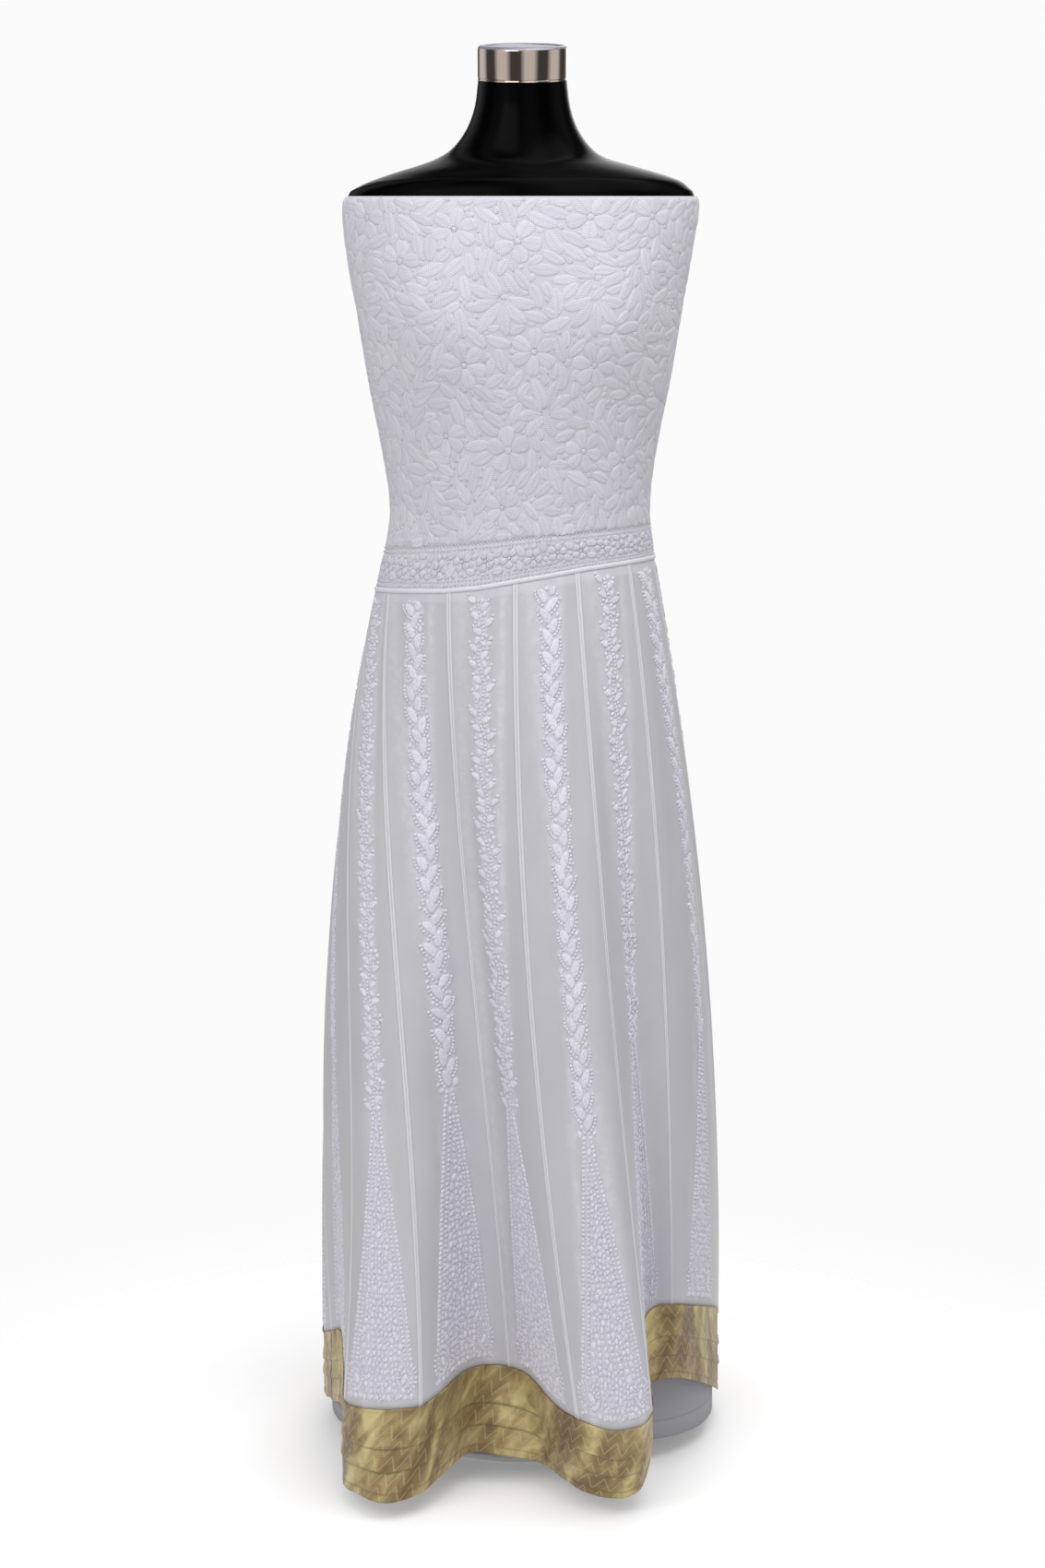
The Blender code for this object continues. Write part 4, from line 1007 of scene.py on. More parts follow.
# Painted shadow: a thin dark line below each tuck's free edge; the fainter line at HEM_LINE is the
# hem's stitching
painted_tuck_shadow_and_hem_stitch = add_node(tree, "ShaderNodeValToRGB", links={"Fac": share_mark.outputs["Fac"]})
painted_tuck_shadow_and_hem_stitch.color_ramp.elements[0].position = 0.0
painted_tuck_shadow_and_hem_stitch.color_ramp.elements[0].color = (0.0, 0.0, 0.0, 1.0)
painted_tuck_shadow_and_hem_stitch.color_ramp.elements[1].position = 1.0
painted_tuck_shadow_and_hem_stitch.color_ramp.elements[1].color = (0.0, 0.0, 0.0, 1.0)
for middle, level in ((TUCKS[0], 0.55), (TUCKS[1], 0.55), (HEM_LINE, 0.35)):
    for off, value in ((-0.008, 0.0), (0.006, level), (0.030, 0.0)):
        stop = painted_tuck_shadow_and_hem_stitch.color_ramp.elements.new(middle + off)
        stop.color = (value, value, value, 1.0)
tucked = add_node(tree, "ShaderNodeMixRGB", {"Color2": linear("5C4C2E")},
                  {"Fac": painted_tuck_shadow_and_hem_stitch.outputs["Color"], "Color1": quilted.outputs["Color"]})
weave = add_node(tree, "ShaderNodeTexWave", {"Scale": 22.0, "Distortion": 1.2, "Detail": 2.0},
                 {"Vector": flat_on.outputs["UV"]}, bands_direction="Y")
dents = add_node(tree, "ShaderNodeMath", {1: 4.0}, {0: streaks.outputs["Fac"],
                 2: weave.outputs["Fac"]}, operation="MULTIPLY_ADD")
sunk = add_node(tree, "ShaderNodeMath", {1: -2.0}, {0: thread.outputs["Result"],
                2: dents.outputs[0]}, operation="MULTIPLY_ADD")
bump = add_node(tree, "ShaderNodeBump", {"Strength": 0.35, "Distance": 0.0005},
                {"Height": sunk.outputs[0]})
tree.links.new(tucked.outputs["Color"], shader.inputs["Base Color"])
tree.links.new(bump.outputs["Normal"], shader.inputs["Normal"])

for name, node, first, last in (("border_front_brocade", "border_front", 0.0, FRONT_KALIS),
                                ("border_back_brocade", "border_back", FRONT_KALIS, KALIS)):
    grid, drop, whole = border_grid(first, last)
    piece = shell(name, grid, {"share": drop / whole})
    dress(piece, brocade, "brocade", node)


# Piping: a bias strip of the georgette round a 3 mm cotton cord, let into the waist seam
# all the way round.
PIPING_RADIUS = 0.0024
PIPING_DEPTH = 0.0013     # the cord is pressed flat against the seam
PIPING_SIDES = 12
PIPING_STEPS = 420


def tube_along(path, depth, height, sides):
    """A closed tube: at each step an ellipse in the plane of the outward and upward normals."""
    ahead = np.roll(path, -1, axis=0) - np.roll(path, 1, axis=0)
    ahead = ahead / np.linalg.norm(ahead, axis=1, keepdims=True)
    out = np.cross(ahead, (0.0, 0.0, 1.0))
    out = out / np.linalg.norm(out, axis=1, keepdims=True)
    up = np.cross(out, ahead)
    turn = np.linspace(0.0, 2.0 * math.pi, sides, endpoint=False)[:, None, None]
    return path + depth * np.cos(turn) * out + height * np.sin(turn) * up


def ring_quads(sides, steps):
    """Faces of a tube that is closed both ways round."""
    side = np.arange(sides)[:, None]
    step = np.arange(steps)[None, :]
    after = (step + 1) % steps
    low = (side + 1) % sides
    corners = [side * steps + step, side * steps + after, low * steps + after, low * steps + step]
    return np.stack(corners, axis=-1).reshape(-1, 4)


# Bias-cut georgette on cord: the crepe drawn tight, pale because it is doubled
bias, tree, shader = start_material("bias_georgette", "E4E2E9", 0.75, sheen=0.2)
flat_on = add_node(tree, "ShaderNodeUVMap", uv_map="cloth")
twist = add_node(tree, "ShaderNodeTexWave", {"Scale": 9.0, "Distortion": 1.0},
                 {"Vector": flat_on.outputs["UV"]}, bands_direction="DIAGONAL")
bump = add_node(tree, "ShaderNodeBump", {"Strength": 0.15, "Distance": 0.0005},
                {"Height": twist.outputs["Fac"]})
tree.links.new(bump.outputs["Normal"], shader.inputs["Normal"])

angle = np.linspace(-math.pi, math.pi, PIPING_STEPS, endpoint=False)
path = waist_ring(angle, SEAM, -0.6 * PIPING_DEPTH)
ring = tube_along(path, PIPING_DEPTH, PIPING_RADIUS, PIPING_SIDES)
uv = np.stack([np.broadcast_to(np.linspace(0.0, 7.2, PIPING_STEPS), ring.shape[:2]),
               np.broadcast_to(np.linspace(0.0, 0.14, PIPING_SIDES)[:, None], ring.shape[:2])],
              axis=-1).reshape(-1, 2)
piping = mesh_piece("waist_piping_cord", ring.reshape(-1, 3),
                    [ring_quads(PIPING_SIDES, PIPING_STEPS)], uv)
dress(piping, bias, "piping", "waist_piping")


# Waistband: two shaped strips of georgette backed with voile, sewn at the sides, slanting
# up to the wearer's left. Embroidery covers them.
BAND_COLUMNS = 150
BAND_CLOTH_ROWS = 12

# Backed georgette: the skirt's crepe mounted on white voile, so paler and no longer sheer
ground_cloth, tree, shader = start_material("backed_georgette", "B4B3BA", 0.85, sheen=0.2)
flat_on = add_node(tree, "ShaderNodeUVMap", uv_map="cloth")
crepe = add_node(tree, "ShaderNodeTexNoise", {"Scale": 60.0, "Detail": 2.0},
                 {"Vector": flat_on.outputs["UV"]})
cloud = add_node(tree, "ShaderNodeTexNoise", {"Scale": 2.0, "Detail": 3.0},
                 {"Vector": flat_on.outputs["UV"]})
tone = add_node(tree, "ShaderNodeMixRGB", {"Color1": linear("CCCBD2"), "Color2": linear("D8D7DD")},
                {"Fac": cloud.outputs["Fac"]})
bump = add_node(tree, "ShaderNodeBump", {"Strength": 0.25, "Distance": 0.0005},
                {"Height": crepe.outputs["Fac"]})
tree.links.new(tone.outputs["Color"], shader.inputs["Base Color"])
tree.links.new(bump.outputs["Normal"], shader.inputs["Normal"])


def band_point(angle, way, inset):
    """The waistband from its top edge (way 0) to the waist seam (way 1), on the body."""
    top = waist_ring(angle, BAND_TOP, inset)[..., 2]
    seam = waist_ring(angle, SEAM, inset)[..., 2]
    return body_point(angle, top + (seam - top) * way, inset)


band_sides = [float(seam_angles(place)[0]) for place in (1.0, 8.0)]
band_sides.append(band_sides[0] + 2.0 * math.pi)
way = np.linspace(0.0, 1.0, BAND_CLOTH_ROWS + 1)[:, None]
band_grids = []
for index, name in enumerate(("front", "back")):
    angle = np.linspace(band_sides[index], band_sides[index + 1], BAND_COLUMNS + 1)[None, :]
    grid = band_point(angle + 0.0 * way, way + 0.0 * angle, 0.0)
    band_grids.append(grid)
    piece = shell(f"waistband_{name}_cloth", grid)
    dress(piece, ground_cloth, "band_cloth", f"waistband_{name}")


# Bodice: a strapless tube cut in a front and a back, shaped over the bust and sewn at the
# sides, of georgette mounted on voile. Its top edge is cut straight and turned in.
BODICE_COLUMNS = 100
BODICE_CLOTH_ROWS = 72
DRAGS = np.array((
    # angle, height, length, spread, slope, depth: small drag lines at the waist and sides
    (-1.20, 1.060, 0.060, 0.0050, 0.35, -0.0012),
    (-1.05, 1.020, 0.050, 0.0045, -0.25, -0.0010),
    (-0.55, 1.038, 0.060, 0.0050, 0.20, -0.0009),
    (0.62, 1.046, 0.055, 0.0050, -0.30, -0.0010),
    (1.12, 1.025, 0.050, 0.0045, 0.30, -0.0012),
    (1.25, 1.085, 0.060, 0.0055, -0.40, -0.0012),
    (-1.30, 1.250, 0.050, 0.0060, 0.60, -0.0010),
    (1.28, 1.262, 0.050, 0.0060, -0.55, -0.0010),
    (2.05, 1.050, 0.060, 0.0050, 0.30, -0.0012),
    (2.70, 1.035, 0.070, 0.0050, -0.20, -0.0010),
    (3.60, 1.042, 0.070, 0.0050, 0.22, -0.0010),
    (4.25, 1.058, 0.060, 0.0050, -0.30, -0.0012),
))


def drag_depth(grid, angle):
    """Small drag lines: a bell across a slanting line, and a bell along its length."""
    total = np.zeros(angle.shape)
    for turned_to, height, length, spread, slope, depth in DRAGS:
        along = ((angle - turned_to + math.pi) % (2.0 * math.pi) - math.pi) * 0.15
        off = grid[..., 2] - height - slope * along
        total += depth * np.exp(-(along / length) ** 2) * np.exp(-(off / spread) ** 2)
    return total


way = np.linspace(0.0, 1.0, BODICE_CLOTH_ROWS + 1)[:, None]
bodice_grids = []
for name, middle in (("front", 0.0), ("back", math.pi)):
    angle = middle + np.linspace(-0.5 * math.pi, 0.5 * math.pi, BODICE_COLUMNS + 1)[None, :]
    angle = angle + 0.0 * way
    grid = bodice_point(angle, way + 0.0 * angle, 0.0)
    grid = grid + outward(grid, False) * drag_depth(grid, angle)[..., None]
    bodice_grids.append(grid)
    piece = shell(f"bodice_{name}_cloth", grid)
    dress(piece, ground_cloth, "bodice_cloth", f"bodice_{name}")


# Bodice embroidery: chikankari worked by hand in thick white cotton: satin-stitched flowers
# and long leaves that nearly hide the georgette, with short leaves and knots in the gaps.
# The layout is drawn up afresh from a seed, flower by flower, and copies no real piece.
CELL = 0.001             # mesh of the map that keeps the stitches apart
STITCH_GAP = 0.0003
STITCH_SINK = -0.25      # a pad's edge lies this share of its rise below the cloth's face
LEAF_POINT = 0.12        # how pointed the two ends of a leaf are; below 0 they are blunt
PETAL_POINT = -0.22
PETAL_EGG = 0.34         # how much wider a petal is at its outer end
FLOWER_SPACING = 0.056
FLOWER_TRIES = 1500
PETAL_LENGTH = (0.0200, 0.0235)
FAN_LENGTH = (0.034, 0.042)
FAN_WIDTH = (0.0115, 0.0135)
PAD_RISE = 0.0007        # of petals and fans; stitches lie nearly flat
PAD_EDGE = 0.0012        # width left bare along the top edge and above the waistband
LEAF_SIZES = (
    # length, width, rise, tries, overlap allowed
    (0.030, 0.0125, 0.0006, 2200, 0.12),
    (0.022, 0.0112, 0.0006, 3600, 0.14),
    (0.0150, 0.0088, 0.0006, 5000, 0.16),
    (0.0095, 0.0062, 0.0005, 3000, 0.16),
    (0.0060, 0.0048, 0.0005, 2200, 0.18),
)
PAD_SHAPES = (
    # longer than, sides, rings of (share of the outline, share of the rise)
    (0.0110, 14, ((1.0, STITCH_SINK), (0.90, 0.66), (0.60, 0.97))),
    (0.0070, 9, ((1.0, STITCH_SINK), (0.72, 0.85))),
    (0.0040, 6, ((1.0, STITCH_SINK), (0.66, 0.85))),
    (0.0, 6, ((1.0, STITCH_SINK),)),
)


def sunflower(count):
    """Points spread evenly over the unit disc: radius sqrt(n / count), golden turns."""
    spiral = np.arange(count)
    return np.sqrt((spiral + 0.5) / count)[:, None] * np.stack(
        [np.cos(2.399963 * spiral), np.sin(2.399963 * spiral)], axis=-1)


DISC = sunflower(300)
SMALL_DISC = sunflower(60)


def pad(x, y, turn, long, wide, rise, point=LEAF_POINT, egg=0.0, bend=0.0):
    """One pad of satin stitch on the flat cloth: its middle, its turn, its size and form."""
    return (x, y, turn, long, wide, rise, point, egg, bend)


def map_cells(taken, corner, shape, grow):
    """Cells of the map under a pad that is widened by grow, and whether each is on the map."""
    x, y, turn, long, wide = shape[:5]
    disc = DISC if long > 0.009 else SMALL_DISC
    reach = disc * (0.5 * long + grow, 0.5 * wide + grow)
    column = (x + reach[:, 0] * math.cos(turn) - reach[:, 1] * math.sin(turn) - corner[0]) / CELL
    row = (y + reach[:, 0] * math.sin(turn) + reach[:, 1] * math.cos(turn) - corner[1]) / CELL
    on = (column >= 0) & (column < taken.shape[1]) & (row >= 0) & (row < taken.shape[0])
    return row[on].astype(int), column[on].astype(int), on


def lay(pads, taken, corner, shape, limit):
    """Add a pad unless too much of it would lie on what is there already."""
    row, column, on = map_cells(taken, corner, shape, -0.0002)
    if 1.0 - (on.sum() - taken[row, column].sum()) / len(on) > limit:
        return False
    row, column, on = map_cells(taken, corner, shape, 0.5 * STITCH_GAP)
    taken[row, column] = True
    pads.append(shape)
    return True


def fill_gaps(pads, taken, corner, rng, sizes, flow):
    """Fill what is free with leaves of falling size, each turned along the flow there."""
    for long, wide, rise, tries, limit in sizes:
        free = np.argwhere(~taken)
        if not len(free):
            return
        for row, column in free[rng.integers(0, len(free), tries)]:
            x = corner[0] + column * CELL
            y = corner[1] + row * CELL
            size = rng.uniform(0.85, 1.12)
            lay(pads, taken, corner, pad(x, y, flow(x, y) + rng.normal(0.0, 0.35), long * size,
                                         wide * size, rise, bend=rng.uniform(-0.12, 0.12)), limit)


def flower(pads, taken, corner, rng, x, y, petals, long, wide, rise, limit=0.35):
    """A round middle and petals about it, each an egg with its wide end outside."""
    middle = 0.24 * wide
    lay(pads, taken, corner, pad(x, y, 0.0, 2.0 * middle, 2.0 * middle, rise * 1.15, 0.0), limit)
    start = rng.uniform(0.0, 2.0 * math.pi)
    for index in range(petals):
        turn = start + 2.0 * math.pi * index / petals
        reach = 0.7 * middle + 0.5 * long
        lay(pads, taken, corner, pad(x + reach * math.cos(turn), y + reach * math.sin(turn), turn,
                                     long, wide, rise, PETAL_POINT, PETAL_EGG), limit)


def fan(pads, taken, corner, rng, x, y, leaves, long, wide, rise, limit=0.3):
    """Long leaves spread out of one point, the middle one longest."""
    start = rng.uniform(0.0, 2.0 * math.pi)
    for index in range(leaves):
        off = (index + 0.5) / leaves - 0.5
        turn = start + off * math.radians(38.0) * leaves
        size = long * (1.0 - 0.5 * abs(off)) * rng.uniform(0.92, 1.06)
        reach = 0.003 + 0.5 * size
        lay(pads, taken, corner, pad(x + reach * math.cos(turn), y + reach * math.sin(turn), turn,
                                     size, wide, rise, bend=0.16 * np.sign(off)), limit)


def pad_frame(sides, rings):
    """Outline points (cos t, sin t, share, height) of a pad's rings, crown and foot, its faces."""
    turn = np.linspace(0.0, 2.0 * math.pi, sides, endpoint=False)
    points = [np.stack([np.cos(turn), np.sin(turn), np.full(sides, share), np.full(sides, high)],
                       axis=-1) for share, high in rings]
    points += [np.array([(1.0, 0.0, 0.0, 1.0), (1.0, 0.0, 0.0, STITCH_SINK)])]
    here = np.arange(sides)
    after = (here + 1) % sides
    quads = [np.stack([ring * sides + here, ring * sides + after, (ring + 1) * sides + after,
                       (ring + 1) * sides + here], axis=-1) for ring in range(len(rings) - 1)]
    last = (len(rings) - 1) * sides
    crown = len(rings) * sides
    fans = [np.stack([last + here, last + after, np.full(sides, crown)], axis=-1),
            np.stack([after, here, np.full(sides, crown + 1)], axis=-1)]
    return np.concatenate(points), quads, fans


def stitched(name, pads, settle, rng):
    """All pads of a piece as one mesh; UV is along and across each pad, in centimetres.

    A pad's outline is x = L/2 cos t, y = W/2 sin t |sin t|^point (1 + egg cos t), bent by
    bend L/2 cos^2 t, then turned, moved and settled on the cloth.
    """
    pads = np.array(pads)
    all_points, all_uv, all_tone, faces, base = [], [], [], [], 0
    longest = np.inf
    for least, sides, rings in PAD_SHAPES:
        chosen = pads[(pads[:, 3] >= least) & (pads[:, 3] < longest)]
        longest = least
        if not len(chosen):
            continue
        frame_points, quads, fans = pad_frame(sides, rings)
        x, y, turn, long, wide, rise, point, egg, bend = chosen.T[:, :, None]
        cosine, sine, share, high = frame_points.T[:, None, :]
        along = 0.5 * long * share * cosine
        across = 0.5 * wide * share * np.sign(sine) * np.abs(sine) ** (1.0 + point)
        across = across * (1.0 + egg * share * cosine)
        curved = across + bend * 0.5 * long * (share * cosine) ** 2
        flat_x = x + along * np.cos(turn) - curved * np.sin(turn)
        flat_y = y + along * np.sin(turn) + curved * np.cos(turn)
        points = settle(flat_x, flat_y, rise * high)
        count = points.shape[1]
        offset = base + np.arange(len(chosen))[:, None, None] * count
        faces += [(part[None] + offset).reshape(-1, part.shape[1]) for part in quads + fans]
        all_points.append(points.reshape(-1, 3))
        all_uv.append(np.stack([along, across], axis=-1).reshape(-1, 2) * 100.0)
        all_tone.append(np.repeat(rng.uniform(0.0, 1.0, len(chosen)), count))
        base += len(chosen) * count
    return mesh_piece(name, np.concatenate(all_points), faces, np.concatenate(all_uv),
                      {"tone": np.concatenate(all_tone)})


def read_grid(points, normals, row, column, lift, over=0.0):
    """A point between four points of a grid, or over rows beyond it, lifted along the normal."""
    row = np.clip(row, -over, points.shape[0] - 1.001 + over)
    column = np.clip(column, 0.0, points.shape[1] - 1.001)
    first_row = np.clip(row.astype(int), 0, points.shape[0] - 2)
    first_column = column.astype(int)
    down = (row - first_row)[..., None]
    right = (column - first_column)[..., None]
    found = []
    for grid in (points, normals):
        top = grid[first_row, first_column] * (1.0 - right) + grid[first_row, first_column + 1] * right
        low = (grid[first_row + 1, first_column] * (1.0 - right)
               + grid[first_row + 1, first_column + 1] * right)
        found.append(top * (1.0 - down) + low * down)
    return found[0] + found[1] * lift[..., None]


# Cotton satin stitch: loose shiny strands laid side by side across each leaf, slanting out
# from its middle rib. Strands are 0.5 mm, drawn as 2 mm ribs so that they show, with painted
# shade darkening the grooves between them and the sunk middle rib
satin, tree, shader = start_material("cotton_satin_stitch", "DFDDE7", 0.75, sheen=0.2)
on_pad = add_node(tree, "ShaderNodeUVMap", uv_map="cloth")
parts = add_node(tree, "ShaderNodeSeparateXYZ", links={"Vector": on_pad.outputs["UV"]})
side = add_node(tree, "ShaderNodeMath", links={0: parts.outputs["Y"]}, operation="ABSOLUTE")
slant = add_node(tree, "ShaderNodeMath", {1: -0.55}, {0: side.outputs[0],
                 2: parts.outputs["X"]}, operation="MULTIPLY_ADD")
count = add_node(tree, "ShaderNodeMath", {1: 2.0 * math.pi / 0.20}, {0: slant.outputs[0]},
                 operation="MULTIPLY")
strands = add_node(tree, "ShaderNodeMath", links={0: count.outputs[0]}, operation="SINE")
rib = add_node(tree, "ShaderNodeMapRange", {"From Min": 0.0, "From Max": 0.06, "To Min": -1.6,
               "To Max": 0.0}, {"Value": side.outputs[0]})
fuzz_place = add_node(tree, "ShaderNodeTexCoord")
fuzz = add_node(tree, "ShaderNodeTexNoise", {"Scale": 900.0, "Detail": 2.0},
                {"Vector": fuzz_place.outputs["Object"]})
height = add_node(tree, "ShaderNodeMath", links={0: strands.outputs[0], 1: rib.outputs["Result"]},
                  operation="ADD")
height = add_node(tree, "ShaderNodeMath", {1: 2.0}, {0: fuzz.outputs["Fac"],
                  2: height.outputs[0]}, operation="MULTIPLY_ADD")
tone_mark = add_node(tree, "ShaderNodeAttribute", attribute_name="tone")
tone = add_node(tree, "ShaderNodeMixRGB", {"Color1": linear("DEDCE6"), "Color2": linear("E8E6EF")},
                {"Fac": tone_mark.outputs["Fac"]})
# Painted shade: the colour darkens where the strands' height is low, in the grooves and the middle rib
painted_hollow_shade = add_node(tree, "ShaderNodeMapRange", {"From Min": 1.2, "From Max": -1.6, "To Max": 0.75},
                {"Value": height.outputs[0]})
shaded = add_node(tree, "ShaderNodeMixRGB", {"Color2": linear("C4C2CD")},
                  {"Fac": painted_hollow_shade.outputs["Result"], "Color1": tone.outputs["Color"]})
bump = add_node(tree, "ShaderNodeBump", {"Strength": 0.6, "Distance": 0.0004},
                {"Height": height.outputs[0]})
tree.links.new(shaded.outputs["Color"], shader.inputs["Base Color"])
tree.links.new(bump.outputs["Normal"], shader.inputs["Normal"])


def bodice_pads(rng, along, foot_line, top_line):
    """Flowers and fans scattered evenly on a flat half of the bodice, then filled up."""
    half = float(along[-1])
    low = float(foot_line.min())
    high = float(top_line.max())
    corner = (-half, low)
    taken = np.zeros((int((high - low) / CELL), int(2.0 * half / CELL)), dtype=bool)
    map_x = -half + (np.arange(taken.shape[1]) + 0.5) * CELL
    map_y = (low + (np.arange(taken.shape[0]) + 0.5) * CELL)[:, None]
    taken |= map_y < np.interp(map_x, along, foot_line) + PAD_EDGE
    taken |= map_y > np.interp(map_x, along, top_line) - PAD_EDGE
    pads, centres = [], []
    for x, y in rng.uniform((-half, low), (half, high), (FLOWER_TRIES, 2)):
        if all(math.hypot(x - a, y - b) > FLOWER_SPACING for a, b in centres):
            centres.append((x, y))
    for index, (x, y) in enumerate(centres):
        if index % 5 < 3:
            petals = int(rng.integers(5, 7))
            long = rng.uniform(*PETAL_LENGTH)
            wide = 0.98 * 2.0 * math.pi * (0.5 * long + 0.0025) / petals
            flower(pads, taken, corner, rng, x, y, petals, long, wide, PAD_RISE, 0.45)
        else:
            fan(pads, taken, corner, rng, x, y, rng.integers(5, 8), rng.uniform(*FAN_LENGTH),
                rng.uniform(*FAN_WIDTH), PAD_RISE)
    fill_gaps(pads, taken, corner, rng, LEAF_SIZES,
              lambda x, y: 1.2 + 1.4 * math.sin(x * 31.0 + y * 17.0) + math.sin(y * 43.0 - x * 11.0))
    return pads


for index, name in enumerate(("front", "back")):
    rng = np.random.default_rng(11 + index)
    grid = bodice_grids[index]
    normals = outward(grid, False)
    middle_row = lengths_across(grid)[BODICE_CLOTH_ROWS // 2]
    middle_row = middle_row - 0.5 * middle_row[-1]
    column_count = np.arange(BODICE_COLUMNS + 1.0)

    def on_bodice(x, y, lift):
        """Flat place (along the middle row, height) to the cloth of this half."""
        column = np.interp(x, middle_row, column_count)
        top = np.interp(column, column_count, grid[0, :, 2])
        foot = np.interp(column, column_count, grid[-1, :, 2])
        row = (top - y) / (top - foot) * BODICE_CLOTH_ROWS
        return read_grid(grid, normals, row, column, lift)

    pads = bodice_pads(rng, middle_row, grid[-1, :, 2], grid[0, :, 2])
    work = stitched(f"bodice_{name}_embroidery", pads, on_bodice, rng)
    dress(work, satin, "bodice_cloth")


# Waistband embroidery: two rows of knots along each edge and small five-petalled flowers
# and leaves packed between them.
BAND_WIDTH = 0.044
BAND_FLOWERS = 0.0265    # spacing of the flowers along the band
BAND_MIDDLE = 0.0225
BAND_PETAL = (0.0098, 0.0086)
KNOT = 0.0042
KNOT_ROWS = (0.0045, 0.0088, BAND_WIDTH - 0.0045, BAND_WIDTH - 0.0002)
BAND_FILL = (
    # as LEAF_SIZES
    (0.0140, 0.0082, 0.0013, 1200, 0.12),
    (0.0090, 0.0062, 0.0012, 3200, 0.16),
    (0.0056, 0.0046, 0.0011, 6000, 0.20),
)
for index, name in enumerate(("front", "back")):
    rng = np.random.default_rng(31 + index)
    grid = band_grids[index]
    normals = outward(grid, False)
    low_row = lengths_across(grid)[-1]
    low_row = low_row - 0.5 * low_row[-1]
    half = float(low_row[-1]) - 0.001

    def on_band(x, y, lift):
        """Flat place (along the seam, share of the band's width) to the band's cloth."""
        column = np.interp(x, low_row, np.arange(BAND_COLUMNS + 1.0))
        row = (1.0 - y / BAND_WIDTH) * BAND_CLOTH_ROWS
        return read_grid(grid, normals, row, column, lift, 0.6)

    corner = (-half, 0.0)
    taken = np.zeros((int(BAND_WIDTH / CELL), int(2.0 * half / CELL)), dtype=bool)
    pads = []
    for edge in KNOT_ROWS:
        for x in np.arange(-half + KNOT, half - KNOT, KNOT):
            lay(pads, taken, corner, pad(x + rng.normal(0.0, 0.0002), edge + rng.normal(0.0, 0.0002),
                                         rng.normal(0.0, 0.3), 0.86 * KNOT, KNOT, 0.0016, 0.0), 0.6)
    for x in np.arange(-half + 0.012, half - 0.010, BAND_FLOWERS):
        flower(pads, taken, corner, rng, x, BAND_MIDDLE + rng.normal(0.0, 0.002), 5, *BAND_PETAL,
               0.0014)
    fill_gaps(pads, taken, corner, rng, BAND_FILL, lambda x, y: 0.9 * math.sin(x * 210.0))
    work = stitched(f"waistband_{name}_embroidery", pads, on_band, rng)
    dress(work, satin, "band_cloth")


# Skirt embroidery: down the middle of every kali runs a vine of knots and leaves, twisted
# like a rope on one and sprigged on the next, and it ends above the border in a tall
# triangle of knot rows with a paisley in each lower corner.
VINE_TOP = 0.010
VINE_HALF = (0.0120, 0.0088)     # of a twisted vine and of a sprigged one
TRIANGLE_HEIGHT = 0.285
TRIANGLE_HALF = 0.044
TRIANGLE_CLEAR = (0.0045, 0.0085)    # to the seams, and above the border
TRIANGLE_TIP = 0.0055    # half width at the apex
KNOT_RISE = 0.0013
ROPE_STEP = 0.0112
ROPE_LEAF = (0.0165, 0.0230)
ROPE_LEAF_WIDTH = 0.0098
ROPE_KNOTS = 6           # along the outer edge of each leaf
SPRIG_STEP = 0.0085
SPRIG_RISE = 0.0012
STEM_SWING = 0.0030
STEM_WAVES = 105.0       # radians a metre
EDGE_STEP = 0.0046       # of the knot rows down a triangle's sides
EDGE_ROWS = (
    # distance in from the side, length of a knot
    (0.0, 0.0060),
    (0.0057, 0.0050),
)
COLUMN_STEP = 0.0063     # of the knots in a triangle's columns, and between the columns
COLUMN_APART = 0.0086
MAP_MARGIN = 0.004
BED_REACH = 0.004        # the bed's mark counts no further than this from its outline
VINE_FILL = (
    # as LEAF_SIZES
    (0.0110, 0.0070, 0.0012, 1500, 0.16),
    (0.0075, 0.0056, 0.0012, 3000, 0.18),
    (0.0050, 0.0043, 0.0011, 4200, 0.22),
)
TRIANGLE_FILL = (
    # as LEAF_SIZES
    (0.0100, 0.0066, 0.0013, 1500, 0.14),
    (0.0068, 0.0053, 0.0012, 3600, 0.16),
    (0.0048, 0.0043, 0.0011, 5000, 0.20),
)


# Cotton knot stitch: little balls of thick soft thread wound on themselves, matt and as white
# as the satin stitch; the windings are drawn as a grain of 1.7 mm, with painted shade in its hollows
knotted, tree, shader = start_material("cotton_knot_stitch", "E2E0E9", 0.85, sheen=0.2)
here = add_node(tree, "ShaderNodeTexCoord")
wound = add_node(tree, "ShaderNodeTexNoise", {"Scale": 600.0, "Detail": 2.0},
                 {"Vector": here.outputs["Object"]})
tone_mark = add_node(tree, "ShaderNodeAttribute", attribute_name="tone")
tone = add_node(tree, "ShaderNodeMixRGB", {"Color1": linear("DDDBE5"), "Color2": linear("E9E7EF")},
                {"Fac": tone_mark.outputs["Fac"]})
# Painted shade: the colour darkens in the low hollows of the winding grain
painted_hollow_shade = add_node(tree, "ShaderNodeMapRange", {"From Min": 0.52, "From Max": 0.36, "To Max": 0.7},
                {"Value": wound.outputs["Fac"]})
shaded = add_node(tree, "ShaderNodeMixRGB", {"Color2": linear("C2C0CB")},
                  {"Fac": painted_hollow_shade.outputs["Result"], "Color1": tone.outputs["Color"]})
bump = add_node(tree, "ShaderNodeBump", {"Strength": 0.6, "Distance": 0.0006},
                {"Height": wound.outputs["Fac"]})
tree.links.new(shaded.outputs["Color"], shader.inputs["Base Color"])
tree.links.new(bump.outputs["Normal"], shader.inputs["Normal"])


